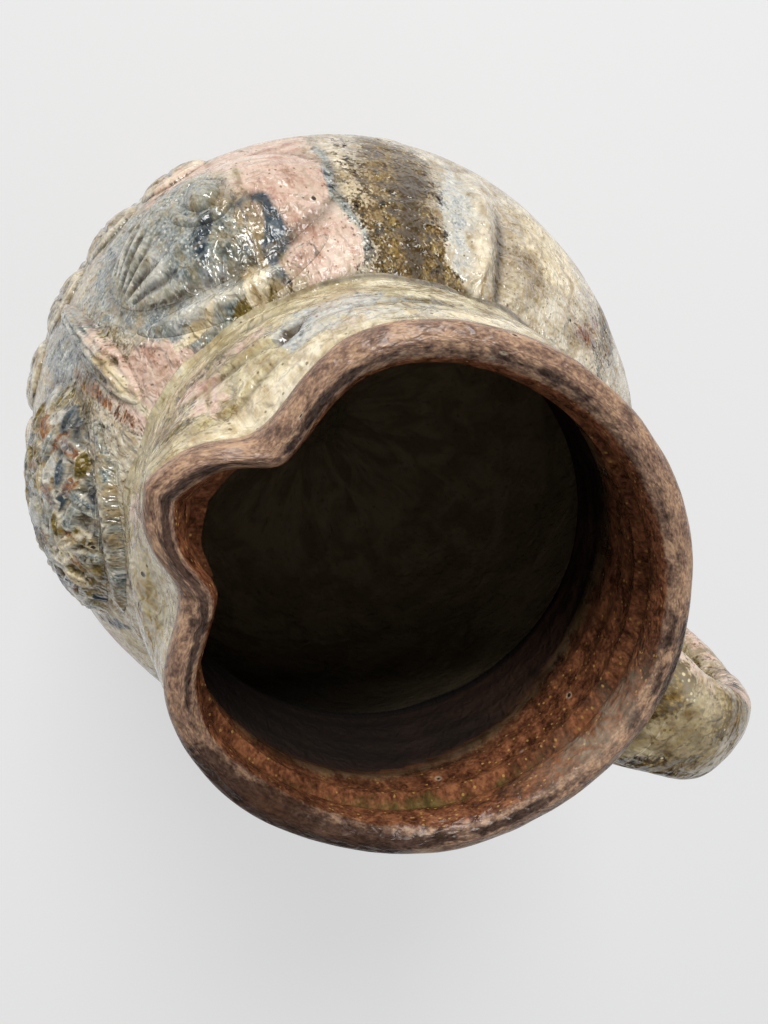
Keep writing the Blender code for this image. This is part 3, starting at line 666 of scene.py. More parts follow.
def makeBelly():
    cols = belly["cols"]
    turn = np.arange(cols) / cols * 2 * pi
    u = turn * belly["radius"]
    u = np.where(u > belly["girth"] / 2, u - belly["girth"], u)
    lowest = belly["flank"] * asin((belly["chamfer"] - belly["height"]) / belly["flank"])
    innerLow = -belly["flank"] * belly["floorTurn"]
    footRadius = belly["radius"] * cos(lowest / belly["flank"]) - belly["chamfer"]
    floorRadius = np.hypot(*onBelly(0.0, innerLow, -belly["wall"])[:2])

    def flat(radius, height):
        return np.stack((radius * np.sin(turn), -radius * np.cos(turn), np.full(cols, height)), -1)

    rings = []  # each ring of points with its place along the curve and what it belongs to
    for share in belly["footRings"]:
        along = lowest - footRadius * (1 - share) - belly["chamfer"]
        rings.append((flat(footRadius * share, 0.0), along, "foot"))
    for v in np.linspace(lowest, jointRise, belly["rows"]):
        rings.append((onBelly(u, v, 0.0), v, "wall"))
    rings.append((flat(neck["foot"] - neck["wall"], jointHeight), jointRise, "inside"))
    for v in np.linspace(jointRise, innerLow, belly["insideRows"]):
        rings.append((onBelly(u, v, -belly["wall"]), v, "inside"))
    for share in belly["floorRings"]:
        along = innerLow - floorRadius * (1 - share)
        rings.append((flat(floorRadius * share, belly["floor"]), along, "inside"))
    points, rise, kinds = zip(*rings)
    count = len(rings)
    points = np.concatenate((np.reshape(points, (-1, 3)), [(0, 0, 0), (0, 0, belly["floor"])]))
    u = np.append(np.tile(u, count), (0, 0))
    v = np.append(np.repeat(rise, cols), (lowest - belly["footTip"], belly["floorTip"]))
    tints = bellyTints(u, v, np.append(np.repeat(kinds, cols), ("foot", "inside")), lowest)
    addPiece("belly_thrown", "belly_body", glazes["ash"], points, ringFaces(count, cols),
             endFaces(count, cols), tints, rollOut(u, v), glazes["umber"])


makeBelly()
print("belly thrown")


# Neck, rolled lip and spout

# Areas on the neck: turn in degrees from the spout, level above the joint, half sizes, strength
neckWashes = {
    "olive": [(-4, 22, 5, 9, 0.8), (-20, 12, 9, 7, 0.6), (-60, 20, 14, 6, 0.7), (40, 18, 12, 9, 0.7),
              (-100, 10, 18, 5, 0.7), (120, 18, 30, 10, 0.6), (180, 22, 26, 12, 0.6)],
    "salmon": [(-13, 22, 5, 9, 0.8), (-26, 14, 8, 6, 0.8), (16, 24, 7, 9, 0.6), (-46, 30, 10, 4, 0.5)],
    "pale": [(-46, 18, 12, 9, 0.9), (-64, 30, 14, 5, 0.7), (-36, 28, 5, 4, 0.9), (70, 20, 16, 9, 0.6),
             (-85, 3, 26, 4, 0.8)],
    "slate": [(-80, 24, 14, 6, 0.6), (-36, 24, 4, 3, 0.9), (100, 26, 20, 6, 0.6)],
    "cream": [(-12, 8, 10, 5, 1.0), (-30, 34, 20, 4, 0.7), (-75, 30, 24, 5, 0.7), (26, 34, 12, 5, 1.0),
              (-8, 34, 12, 4, 0.6), (150, 14, 30, 12, 0.6)],
    "taupe": [(-120, 20, 26, 12, 0.8), (60, 8, 24, 6, 0.6), (-160, 14, 30, 12, 0.7)],
}
# Glaze on lip and mouth: bands by place along the section, sides by turn in degrees from the spout; shade is
# painted on one side of the lip and in the throat
lipFire = {
    "tearRound": ((5, 11, 45), (2, 4, 46)), "tearAlong": ((3, 12, 47), (1.5, 4, 48)),
    # the last pair on the next line is the turn and half width of the side of the lip where shade is painted
    "edgeFrom": (0.97, 1.10), "edgeTo": (2.2, 1.9), "satinFrom": (0.95, 1.05), "shadedSide": (88, 30),
    # iron: a thin line, a patchy band, and a broad one that is painted shade on the shaded side; share and
    # wave, then place
    "ironBands": ((0.6, (0.5, 11, 56), (1.57, 0.06)), (0.15, (0.6, 17, 9), (1.42, 0.18))),
    "ironShaded": (1.35, 0.45, 1.3),
    "deepBack": (190, 35, 0.22), "deepSide": (90, 45, 0.16),  # the lining and the painted shade of the throat start deeper at the back, less deep at a side
    "rustFrom": (1.60, 1.74), "rustShaded": 0.1, "throat": (2.25, 2.6), "liningFrom": (2.2, 2.5),
    "olivine": (2.0, 0.07, 0.65), "olivineSide": (118, 42), "seam": (0.03, 0.02, 0.8), "smear": (-2, 42, 0.8),
    # throatDark and clear: strength of the painted shade in the throat, and how far it lifts at the back
    "under": (0.955, 0.02, 0.5), "nickDark": 1.2, "creaseDark": 0.55, "throatDark": 0.92,
    "clear": (190, 45, 0.5), "paleCrest": (1.05, 0.08), "paleCrestShare": 0.6, "paleCrestWave": (0.6, 20, 50),
    "paleCrestShaded": 0.9, "paintedLipSheen": (1.8, 0.16, 0.45), "paintedLipSheenSide": (172, 16),  # painted highlight: pale paint on the inner slope of the lip next to the handle
    # painted shade on the shaded side of the lip, laid with the dark inner coat
    "lipShade": ((1.53, 0.16, 0.75), (1.85, 0.25, 0.45)), "lipShadeShare": 0.8, "lipShadeWave": (0.4, 9, 57),
    "lipShadeMost": 0.9,
}


def neckOutside(level):
    share = np.clip(1 - level / (neck["height"] - neck["lipHeight"]), 0, 1)
    return neck["waist"] + (neck["foot"] - neck["waist"]) * share ** neck["flare"]


def spoutShift(turn):
    off = np.abs(turn - neck["spoutTurn"])
    tongue = neck["reach"] * np.exp(-(off / neck["reachSpread"]) ** neck["square"])
    return tongue - neck["pinch"] * np.exp(-((off - neck["pinchAt"]) / neck["pinchSpread"]) ** 2)


def onNeck(radius, level, turn):
    share = np.clip(1 - (neck["height"] - level) / neck["depth"], 0, 1)
    reach = radius + spoutShift(turn) * share * share * (3 - 2 * share)
    x, y = reach * np.sin(turn), -reach * np.cos(turn)
    return np.stack((x, y, neckBase + level * (1 + tan(neck["dip"]) * y / neck["height"])), -1)


def neckProfile():
    # rows of radius, level and place along the section: 0 to 1 outside, to 2 over the lip, to 3 inside
    rows = list(neck["footRows"])
    under = neck["height"] - neck["lipHeight"]
    for level in np.linspace(neck["wallFrom"], under - neck["wallGap"], neck["wallRows"]):
        radius = float(neckOutside(level)) + neck["footFlare"] * np.exp(-level / neck["footFlareHeight"])
        rows.append((radius, level, neck["placeFrom"] + neck["placeSpan"] * level / under))
    half, halfHeight = neck["lipThick"] / 2, neck["lipHeight"] / 2
    for share in np.linspace(0, 1, neck["lipRows"]):
        angle = neck["lipStart"] + share * neck["lipSweep"]
        level = neck["height"] - halfHeight + halfHeight * np.sin(angle)
        rows.append((neck["lip"] - half + half * np.cos(angle), level - neck["lipTilt"] * share, 1 + share))
    for level in np.linspace(under - neck["insideDrop"], neck["insideEnd"], neck["insideRows"]):
        above = max(level, 0.0)
        rows.append((float(neckOutside(above)) - neck["wall"], level, 3 - above / under))
    return np.array(rows)


def neckTints(at, arc, level, place, outside, nick, crease):
    tints = {key: np.zeros(arc.shape) for key in washes}
    arcTorn = arc + uneven(at, *lipFire["tearRound"])
    levelTorn = level + uneven(at, *lipFire["tearAlong"])
    for key, spots in neckWashes.items():
        for turn0, level0, halfTurn, halfLevel, strength in spots:
            across = (arcTorn - turn0 + 180) % 360 - 180
            spot = np.exp(-(across / halfTurn) ** 2 - ((levelTorn - level0) / halfLevel) ** 2)
            tints[key] += strength * spot * outside
    around = arc % 360
    shadedSide = bump(arc, *lipFire["shadedSide"])  # painted shade: the lip is darker on this side, and duller
    deep = bump(around, *lipFire["deepBack"]) - bump(arc, *lipFire["deepSide"])
    throat = ramp(place - deep, *lipFire["throat"])
    tints["edge"] = ramp(place, *lipFire["edgeFrom"]) * ramp(place, *lipFire["edgeTo"])
    tints["lip"] = ramp(place, *lipFire["satinFrom"]) * (sheen["satin"] + (1 - sheen["satin"]) * shadedSide)
    # painted shade: a broad dark iron band on the shaded side of the lip
    tints["iron"] = shadedSide * bump(place, *lipFire["ironShaded"])
    for share, wave, band in lipFire["ironBands"]:
        tints["iron"] += (share + uneven(at, wave)) * bump(place, *band)
    # the rust starts further in on the shaded side, so that the painted shade shows
    tints["rust"] = ramp(place - lipFire["rustShaded"] * shadedSide, *lipFire["rustFrom"]) * (1 - throat)
    tints["olivine"] = bump(arc, *lipFire["olivineSide"]) * bump(place, *lipFire["olivine"])
    seam = bump(place, *lipFire["seam"]) * (1 - bump(arc, *lipFire["smear"]))
    # painted shade deep in the throat, lighter at the back near the handle
    depth = lipFire["throatDark"] * throat * (1 - bump(around, *lipFire["clear"]))
    tints["hollow"] = np.max((seam, bump(place, *lipFire["under"]), lipFire["nickDark"] * nick,
                              lipFire["creaseDark"] * crease * outside, depth), axis=0)
    # pale outer edge of the lip: partly glaze rubbed thin, partly a painted highlight that fades on the shaded
    # side
    paleCrest = lipFire["paleCrestShare"] + uneven(at, lipFire["paleCrestWave"])
    paleCrest = paleCrest * (1 - lipFire["paleCrestShaded"] * shadedSide)
    # painted highlight: pale paint on the inner slope of the lip next to the handle
    paintedLipSheen = bump(around, *lipFire["paintedLipSheenSide"]) * bump(place, *lipFire["paintedLipSheen"])
    tints["crest"] = paleCrest * bump(place, *lipFire["paleCrest"]) + paintedLipSheen
    # painted shade: the dark inner coat laid over the lip on its shaded side
    lipShade = shadedSide * sum(bump(place, *band) for band in lipFire["lipShade"])
    lipShade = np.clip(lipShade * (lipFire["lipShadeShare"] + uneven(at, lipFire["lipShadeWave"])), 0, lipFire["lipShadeMost"])
    tints["inner"] = np.maximum(ramp(place - deep, *lipFire["liningFrom"]), lipShade)
    tints["bare"] = 0 * arc
    return tints


def makeNeck():
    cols = neck["cols"]
    turn = np.arange(cols) / cols * 2 * pi - pi
    profile = neckProfile()
    radius, level, place = (profile[:, i:i + 1] + 0 * turn for i in range(3))
    turns = turn + 0 * level
    arc = np.degrees(turns)
    at = np.stack((neck["chartRadius"] * np.sin(turns), -neck["chartRadius"] * np.cos(turns),
                   place * neck["chartHeight"]), -1)
    outside = ramp(place, *neck["outsideFrom"]) * ramp(place, *neck["outsideTo"])
    lip = ramp(place, *neck["lipFrom"]) * ramp(place, *neck["lipTo"])
    inside = ramp(place, *neck["insideFrom"])
    rings = np.sin(level * 2 * pi / neck["ringPitch"] + arc / neck["ringSlant"])
    lift = uneven(at, *neck["waves"]) + neck["ringTall"] * rings

    def foldAt(turn0, level0, slope, wide, depth, span):
        return depth, bump(level - level0 - slope * (arc - turn0), 0, wide) * bump(arc, turn0, span)

    # folds of the clay that the spout was pulled from
    crease = 0 * arc
    for fold in neck["folds"]:
        depth, along = foldAt(*fold)
        lift = lift + depth * along
        crease = np.maximum(crease, along * (depth < 0))
    depth, nick = foldAt(*neck["nick"])
    lift = lift + depth * nick
    for turn0, level0, halfTurn, halfLevel, tall in neck["prints"]:
        lift = lift + tall * bump(arc, turn0, halfTurn) * bump(level, level0, halfLevel)
    onLip = uneven(at, *neck["lipWaves"]) - bump(place, *neck["lipGroove"])
    lift = lift * outside + lip * onLip
    lift = lift + uneven(at, neck["footWave"]) * ramp(place, *neck["footTo"])
    lift = lift + inside * neck["insideTall"] * np.sin(level * 2 * pi / neck["insidePitch"])
    # floor of the spout
    channel = bump(arc, np.degrees(neck["spoutTurn"]), neck["channelHalf"]) * ramp(place, *neck["channelFrom"])
    lift = lift - channel * ramp(place, *neck["channelTo"])
    points = onNeck(radius + lift, level, turns)
    tints = neckTints(at, arc, level, place, outside, nick, crease)
    addPiece("neck_thrown", "neck_collar", glazes["iron"], points,
             ringFaces(len(profile), cols, 0, True), noTris, tints, at, glazes["dark"])


makeNeck()
print("neck thrown")


# Strap handle

handle = {
    "width": 25.0, "thick": 11.5, "waisting": 0.15, "rootDrop": 16.0, "seatRise": 46.0, "rootPull": 46.0,
    "seatPull": 30.0, "rootSlope": radians(32), "stations": 150, "sides": 72, "square": 0.9, "sink": 4.0,
    "sinkFrom": 0.93, "flareFrom": 0.86, "rootFlare": 0.18, "seatFlare": 0.22, "swellFrom": 0.88, "swell": 0.5,
    "length": 130, "waves": ((0.5, 14, 11), (0.15, 4, 12)),
    # glaze: share and wave of each coat, with clusters of brown specks in the ash, and where it changes
    "coats": {"ash": (0.42, (0.75, 7, 13)), "olive": (0.1, (0.4, 12, 14)), "taupe": (0.25, (0.4, 20, 16)),
              "salmon": (0.7, (0.4, 16, 15))},
    "held": (0.2, 0.5, 0.35), "singed": (0.75, 0.2, 0.8), "singedAlong": (0.25, 0.2),
    "slip": (-1.0, 0.25, 0.9), "pool": (0.95, 0.99, 0.6), "pale": (-0.6, 0.3, 0.35),
}


def makeHandle():
    level = neck["height"] - handle["rootDrop"]
    root = onNeck(neckOutside(level), level, np.array(pi))
    leave = np.array((0, cos(handle["rootSlope"]), sin(handle["rootSlope"])))
    seatAngle = asin(handle["seatRise"] / belly["shoulder"])
    normal = np.array((0, cos(seatAngle) / belly["radius"], sin(seatAngle) / belly["shoulder"]))
    normal /= np.linalg.norm(normal)
    seatHeight = belly["height"] + belly["shoulder"] * sin(seatAngle)
    seat = np.array((0, belly["radius"] * cos(seatAngle), seatHeight))
    control = np.array((root, root + leave * handle["rootPull"], seat + normal * handle["seatPull"], seat))
    control[2:] += leanAt(control[2:, 2])
    share = np.linspace(0, 1, handle["stations"])[:, None]

    def nearEnds(start, end=1.0, most=1.0):
        return ramp(1 - share, start, end, most), ramp(share, start, end, most)

    line = ((1 - share) ** 3 * control[0] + 3 * (1 - share) ** 2 * share * control[1]
            + 3 * (1 - share) * share ** 2 * control[2] + share ** 3 * control[3])
    run = np.gradient(line, axis=0)
    run /= np.linalg.norm(run, axis=1)[:, None]
    atRoot, atSeat = nearEnds(handle["sinkFrom"])
    line = line - run * handle["sink"] * atRoot + run * handle["sink"] * atSeat
    outward = np.stack((0 * run[:, 0], -run[:, 2], run[:, 1]), -1)
    turn = np.arange(handle["sides"]) / handle["sides"] * 2 * pi
    across, over = (np.sign(c) * np.abs(c) ** handle["square"] for c in (np.cos(turn), np.sin(turn)))
    atRoot, atSeat = nearEnds(handle["flareFrom"])
    flare = 1 + handle["rootFlare"] * atRoot + handle["seatFlare"] * atSeat
    width = handle["width"] / 2 * (1 - handle["waisting"] * np.sin(pi * share)) * flare
    atRoot, atSeat = nearEnds(handle["swellFrom"])
    thick = handle["thick"] / 2 * (1 + handle["swell"] * atRoot + handle["swell"] * atSeat)
    at = np.stack((across * width, over * thick, share * handle["length"] + 0 * across), -1)
    wave = uneven(at, *handle["waves"])
    tall = over * thick + wave * over
    points = line[:, None, :] + outward[:, None, :] * tall[..., None]
    points[..., 0] += across * width + wave * across
    tints = {key: 0 * tall for key in (*washes, "inner", "bare")}
    for key, (base, swing) in handle["coats"].items():
        tints[key] = base + uneven(at, swing)
    tints["ash"] -= bump(across, *handle["held"])
    tints["ash"] += bump(across, *handle["singed"]) * bump(share, *handle["singedAlong"])
    tints["salmon"] *= bump(across, *handle["slip"])
    tints["hollow"] = np.maximum(*nearEnds(*handle["pool"])) + 0 * tall
    tints["crest"] = bump(across, *handle["pale"]) * (over > 0) + 0 * tall
    count, sides = tall.shape
    points = np.concatenate((points.reshape(-1, 3), [line[0], line[-1]]))
    at = np.concatenate((at.reshape(-1, 3), [(0, 0, 0), (0, 0, handle["length"])]))
    tints = {key: np.append(value.ravel(), (0, 0)) for key, value in tints.items()}
    addPiece("handle_pulled", "handle", glazes["beige"], points, ringFaces(count, sides),
             endFaces(count, sides), tints, at)


makeHandle()
print("handle pulled")


# Relief pieces

def layRelief(name, node, glaze, chart, shape, mesh, sink=1.0, tinge=None):
    # piece over a unit disc: shape gives its lift, and marks such as grooves, crests and dabs of another coat
    rings, sides = mesh
    out = np.linspace(0, 1, rings + 1)[1:, None]
    turn = np.arange(sides) / sides * 2 * pi
    p, q = out * np.cos(turn), out * np.sin(turn)
    p, q, out = np.append(p, 0), np.append(q, 0), np.append(out + 0 * turn, 0)
    u, v = chart(p, q)
    lift, marks = shape(p, q, out, rollOut(u, v))
    rim = slice((rings - 1) * sides, rings * sides)
    low = onBelly(u[rim], v[rim], np.full(sides, -sink))
    points = np.concatenate((onBelly(u, v, lift), low, onBelly(u[-1:], v[-1:], -sink)))
    tip, firstLow = rings * sides, rings * sides + 1
    skirt = np.arange(sides)
    edge = (rings - 1) * sides + skirt
    wall = np.stack((edge, np.roll(edge, -1), firstLow + np.roll(skirt, -1), firstLow + skirt), -1)
    quads = np.concatenate((ringFaces(rings, sides), wall))
    tris = np.concatenate((tipFaces(skirt, tip), tipFaces(firstLow + skirt[::-1], firstLow + sides)))
    u, v = (np.concatenate((c, c[rim], c[-1:])) for c in (u, v))
    tints = washAll(u, v)
    tints.update({key: 0 * u for key in ("hollow", "crest", "inner", "bare")})
    for key, amount in (tinge or {}).items():
        tints[key] = tints[key] + amount
    for key, amount in marks.items():
        tints[key] = tints[key] + np.concatenate((amount, amount[rim], amount[-1:]))
    tints = {key: np.clip(value, 0, kiln["most"]) for key, value in tints.items()}
    addPiece(name, node, glaze, points, quads, tris, tints, rollOut(u, v))


def faceDome(out):
    return face["thick"] * np.clip(1 - out ** face["dome"], 0, 1) ** face["domeSoft"]


def combed(phase, power):
    return (0.5 + 0.5 * np.cos(phase)) ** power


def strokedFace(p, q, out, at):
    # soft dome, with a fan of strokes that spreads from the beak
    bearing = np.arctan2(q - face["fanFrom"][1], face["fanFrom"][0] - p)
    fan = combed(face["strokes"] * bearing + uneven(at, face["fanWander"]), 2)
    zone = ramp(p, *face["fanZone"]) * ramp(out, *face["fanTo"])
    zone = zone * (face["fanShow"] + uneven(at, face["fanVary"]))
    lift = faceDome(out) + uneven(at, face["lumps"]) * (1 - out ** 4) - face["fanDeep"] * fan * zone
    rim = ramp(out, *face["edge"]) + bump(out, *face["upperEdge"]) * ramp(q, *face["upperFrom"])
    return lift, {"hollow": face["fanDark"] * fan * zone + rim,
                  "crest": face["fanPale"] * (1 - fan) ** 3 * zone}


def dabbedFace(p, q, out, at):
    # the same dome covered with dabs of clay, each pressed with one line
    draw = np.random.default_rng(face["seed"])
    proud, rim = 0 * p, 0 * p
    marks = {key: 0 * p for key in face["dabCoats"]}
    wanderU, wanderV = (uneven(at, wave) for wave in face["dabWander"])
    for dab in range(face["dabs"]):
        away, turn = face["dabReach"] * np.sqrt((dab + 0.5) / face["dabs"]), dab * face["dabTurn"]
        lean, tall = draw.uniform(0, pi), draw.uniform(*face["dabTall"])
        du = (p - away * cos(turn)) * face["halfWidth"] + wanderU
        dv = (q - away * sin(turn)) * face["halfHeight"] + wanderV
        a, b = du * cos(lean) + dv * sin(lean), dv * cos(lean) - du * sin(lean)
        far = np.hypot(a / face["dabLong"], b / face["dabWide"])
        pressed = bump(b, *face["press"]) * ramp(far, *face["pressTo"])
        mound = tall * np.sqrt(np.clip(1 - far * far, 0, 1)) * (1 - pressed)
        top = mound > proud
        proud = np.where(top, mound, proud)
        rim = np.where(top, bump(far, *face["dabRim"]), rim)
        coat = face["dabCoats"][draw.integers(len(face["dabCoats"]))]
        for key in marks:
            amount = face["dabGlaze"] if key == coat else face["dabOther"]
            marks[key] = np.where(top, ramp(far, *face["dabGlazeTo"], amount), marks[key])
    cover = ramp(out, *face["dabTo"])
    marks["hollow"] = ramp(proud, *face["between"]) * cover + ramp(out, *face["edge"])
    marks["crest"] = rim * cover
    return faceDome(out) + proud * cover, marks


def pelletShape(p, q, out, at):
    ball = np.sqrt(np.clip(1 - out ** eye["pelletRound"], 0, 1))
    lift = eye["pelletSeat"] + (eye["pelletTop"] - eye["pelletSeat"]) * ball + uneven(at, eye["pelletWave"])
    # painted highlight: pale paint on the upper side of the boss
    return lift, {"hollow": ramp(out, *eye["pelletDark"]), "crest": bump(q, *eye["pelletHighlight"])}


def browShape(p, q, out, at):
    comb = combed(brow["combs"] * pi * (p + brow["combSlant"] * q), 3) * ramp(1 - out, *brow["combFrom"])
    comb = comb * (brow["combShow"] + uneven(at, brow["combVary"]))
    lift = brow["thick"] * np.clip(1 - out ** brow["dome"], 0, 1) ** brow["domeSoft"]
    lift = lift + uneven(at, brow["wave"]) * (1 - out) - brow["combDeep"] * comb
    return lift, {"hollow": brow["combDark"] * comb + ramp(out, *brow["edge"]),
                  "crest": ramp(1 - out, *brow["pale"]) * (1 - comb)}


def beakShape(p, q, out, at):
    # a ridge combed lengthways, with a nostril on each side
    ridge = np.clip(1 - p * p, 0, 1) ** beak["roundAcross"] * np.clip(1 - q * q, 0, 1) ** beak["roundAlong"]
    comb = combed(beak["combs"] * 2 * pi * p + uneven(at, beak["combWander"]), 2) * ramp(out, *beak["combTo"])
    across, along = beak["nostril"]
    nostril = bump(np.abs(p), *across) * bump(q, *along)
    lift = beak["thick"] * np.minimum(ridge, beak["steep"] * (1 - out ** 4)) - nostril
    lift = lift + uneven(at, beak["wave"]) * (1 - out) - beak["combDeep"] * comb
    return lift, {"hollow": np.maximum(nostril, beak["combDark"] * comb),
                  "slate": uneven(at, beak["slateWave"]),
                  "crest": (1 - comb) ** 2 * ramp(1 - out, *beak["pale"])}


def wingShape(p, q, out, at):
    # rows of overlapping feathers, long ones towards the tip; the upper end melts into the wall
    row = (1 - q) * wing["rows"] / 2
    lobes = wing["lobes"] - wing["lobesLost"] * (1 - q) / 2
    row = row + wing["scallop"] * np.abs(np.cos(lobes * pi * p / 2 + pi / 2 * np.floor(row)))
    step = row - np.floor(row)
    shaft = bump(np.sin(lobes * pi * p), 0, wing["shaft"]) * ramp(step, *wing["shaftFrom"])
    melt = ramp(q, *wing["melt"])
    edge = ramp(step, *wing["stepEnd"])
    body = wing["thick"] * np.clip(1 - out ** 4, 0, 1) ** wing["soft"]
    lift = (body + (wing["stepTall"] * step ** wing["stepCurve"] - edge) * (1 - out ** 5)) * melt
    lift = lift + (uneven(at, wing["wave"]) - wing["shaftDeep"] * shaft) * (1 - out)
    return lift - wing["meltDeep"] * (1 - melt), {
        "hollow": np.maximum(wing["stepDark"] * edge, ramp(out, *wing["edge"])) * melt,
        "crest": bump(step, *wing["pale"]) * melt}


def featherShape(p, q, out, at):
    shaft = bump(p, 0, feather["shaft"]) * ramp(q, *feather["shaftTo"])
    along, across = feather["barbs"]
    barbs = combed(2 * pi * (along * q + across * np.abs(p)), 2)
    barbs = barbs * ramp(np.abs(p), *feather["barbFrom"]) * ramp(out, *feather["barbTo"])
    level, slope = feather["slope"]
    lift = feather["thick"] * np.clip(1 - out ** 4, 0, 1) ** feather["soft"] * (level - slope * q)
    lift = lift + uneven(at, feather["wave"]) * (1 - out)
    lift = lift - feather["shaftDeep"] * shaft - feather["barbDeep"] * barbs
    dark = feather["shaftDark"] * shaft + feather["barbDark"] * barbs
    return lift, {"hollow": dark + ramp(out, *feather["edge"]), "crest": bump(out, *feather["pale"])}


def makeEyeRing(side, label):
    steps, sides = eye["steps"], eye["sides"]
    turn = np.arange(steps)[:, None] / steps * 2 * pi
    section = np.arange(sides)[None, :] / sides * 2 * pi
    reach = eye["wobbleRadius"]
    wobble = uneven(np.stack((reach * np.cos(turn), reach * np.sin(turn), 0 * turn + side), -1), eye["wobble"])
    half = eye["ringHalf"] * np.cos(section) * (1 + eye["wobbleHalf"] * wobble)
    radius = eye["ring"] + half + eye["wobbleOut"] * wobble
    lid = 1 + eye["hood"] * np.sin(turn)  # the upper half hoods the eye
    lift = eye["seat"] + eye["ringTall"] * np.sin(section) * lid * (1 + eye["wobbleTall"] * wobble)
    u = side * face["off"] + radius * np.cos(turn)
    v = face["rise"] + radius * np.sin(turn)
    tints = washAll(u, v)
    tints["hollow"] = ramp(-np.sin(section), *eye["ringDark"]) + 0 * u
    paleCrest = eye["ringPale"] + eye["ringPaleVary"] * wobble
    tints["crest"] = paleCrest * ramp(np.sin(section), *eye["ringPaleFrom"])
    tints["inner"] = tints["bare"] = 0 * u
    addPiece(label + "_eye_coil", label + "_eye_ring", glazes["slate"], onBelly(u, v, lift),
             ringFaces(steps, sides, 0, True), noTris, tints, rollOut(u, v))


def makeOwl():
    layRelief("beak_ridge", "beak", glazes["slate"], beakChart, beakShape, beak["mesh"],
              tinge=beak["tinge"])
    for side, label, lobe in ((-1, "left", strokedFace), (1, "right", dabbedFace)):
        layRelief(label + "_face_lobe", label + "_face_disc", glazes["slate"],
                  partial(faceChart, side), lobe, face["mesh"])
        layRelief(label + "_eye_boss", label + "_eye_pellet", glazes["navy"],
                  partial(pelletChart, side), pelletShape, eye["mesh"], eye["sink"], eye["tinge"])
        layRelief(label + "_brow_strip", label + "_brow", glazes["slate"],
                  partial(browChart, side), browShape, brow["mesh"], tinge=brow["tinge"])
        layRelief(label + "_folded_wing", label + "_wing", glazes["ash"],
                  partial(wingChart, side), wingShape, wing["mesh"])
        makeEyeRing(side, label)
    for row, place, u0, v0 in featherPlaces():
        layRelief(f"feather_scale_{row}_{place}", f"breast_feather_{row}_{place}",
                  glazes["slate"], partial(featherChart, u0, v0), featherShape, feather["mesh"],
                  tinge=feather["tinge"])


makeOwl()
print("owl laid on")


# Floor, light and camera

studio = {
    "floorColour": "#e4e4e4", "floorFibre": "#e6e6e6", "fibreSize": 16.67, "fibreDetail": 4.0,
    "fibreShow": (0.3, 0.7, 0.0, 0.25), "floorRough": 0.9, "floorSeen": "#ebebeb", "floorGlow": 0.6,
    "floorSize": 5000.0, "skyColour": "#fafafc", "sky": 0.46, "skyInGloss": 0.10, "skySeen": 0.80,
    # lamps and camera are placed in metres
    "keyPlace": (-1.25, -0.75, 1.0), "keySize": 0.75, "keyPower": 31.0,
    "fillPlace": (0.6, 1.2, 1.2), "fillSize": 1.2, "fillPower": 3.0, "aim": (0.0, 0.0, 0.14),
    "cameraPlace": (-0.03519, -0.05742, 0.31928), "cameraTurn": (-17.995, -10.899, 120.975), "lens": 28.41,
    "sensor": 36.0, "clipStart": 0.01,
}


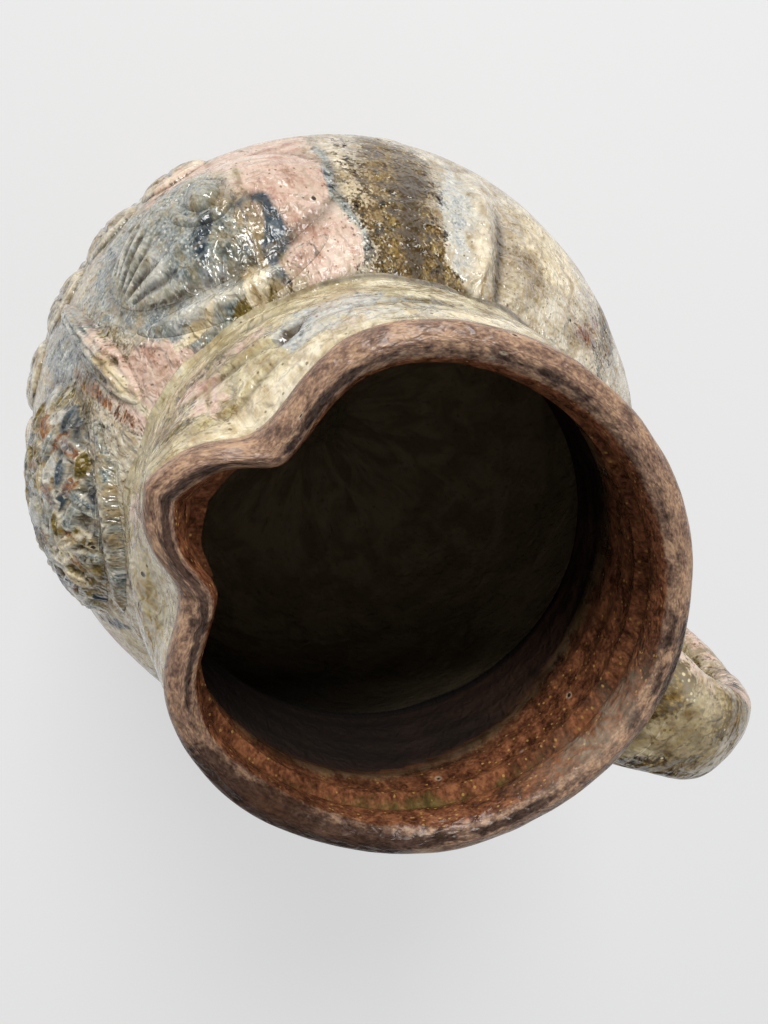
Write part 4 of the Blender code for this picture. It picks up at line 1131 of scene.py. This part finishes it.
def makePaper():
    # pale backdrop paper: matt, with a faint fibre, and seen evenly bright behind the object
    paper = bpy.data.materials.new("paleBackdropPaper")
    paper.use_nodes = True
    tree = paper.node_tree
    add = partial(addNode, tree)
    shader = tree.nodes["Principled BSDF"]
    fibre = add("TexNoise", {"Vector": add("TexCoord", None, "Object"), "Detail": studio["fibreDetail"],
                             "Scale": 1 / (studio["fibreSize"] * millimetre)}, "Fac")
    tone = add("MapRange", dict(enumerate((fibre, *studio["fibreShow"]))))
    tint = add("Mix", {0: tone, 6: linear(studio["floorColour"]), 7: linear(studio["floorFibre"])}, 2,
               data_type="RGBA")
    feed(tree, shader.inputs, {"Base Color": tint, "Roughness": studio["floorRough"]})
    path = add("LightPath").node.outputs
    seen = path["Is Camera Ray"]
    for ray in ("Is Glossy Ray", "Is Transmission Ray"):
        seen = add("Math", {0: seen, 1: path[ray]}, operation="MAXIMUM")
    seen = add("Math", {0: seen, 1: studio["floorGlow"]}, operation="MULTIPLY")
    glow = add("Emission", {"Color": linear(studio["floorSeen"])})
    lit = add("MixShader", {0: seen, 1: shader.outputs[0], 2: glow})
    feed(tree, tree.nodes["Material Output"].inputs, {"Surface": lit})
    return paper


def makeSky():
    sky = bpy.data.worlds.new("studioSky")
    sky.use_nodes = True
    tree = sky.node_tree
    path = addNode(tree, "LightPath").node.outputs
    level = studio["sky"]
    for ray, strength in (("Is Glossy Ray", studio["skyInGloss"]), ("Is Camera Ray", studio["skySeen"])):
        level = addNode(tree, "MapRange", {0: path[ray], 3: level, 4: strength})
    feed(tree, tree.nodes["Background"].inputs, {"Color": linear(studio["skyColour"]), "Strength": level})
    bpy.context.scene.world = sky


def makeStudio():
    scene = bpy.context.scene
    half = studio["floorSize"] * millimetre / 2
    mesh = bpy.data.meshes.new("floor")
    corners = [(-half, -half, 0), (half, -half, 0), (half, half, 0), (-half, half, 0)]
    mesh.from_pydata(corners, [], [(0, 1, 2, 3)])
    mesh.materials.append(makePaper())
    floor = bpy.data.objects.new("floor", mesh)
    scene.collection.objects.link(floor)
    makeSky()
    for name in ("key", "fill"):
        lamp = bpy.data.lights.new(name + "Softbox", "AREA")
        lamp.energy = studio[name + "Power"]
        lamp.size = studio[name + "Size"]
        holder = bpy.data.objects.new(name + "Softbox", lamp)
        holder.location = studio[name + "Place"]
        x, y, z = np.array(studio["aim"]) - np.array(studio[name + "Place"])
        holder.rotation_euler = (np.arctan2(np.hypot(x, y), -z), 0, np.arctan2(y, x) - pi / 2)
        scene.collection.objects.link(holder)
    lens = bpy.data.cameras.new("photoCamera")
    lens.lens = studio["lens"]
    lens.sensor_width = studio["sensor"]
    lens.clip_start = studio["clipStart"]
    camera = bpy.data.objects.new("photoCamera", lens)
    camera.location = studio["cameraPlace"]
    camera.rotation_euler = [radians(a) for a in studio["cameraTurn"]]
    scene.collection.objects.link(camera)
    scene.camera = camera
    scene.view_settings.view_transform = "Standard"


makeStudio()
print("studio set")
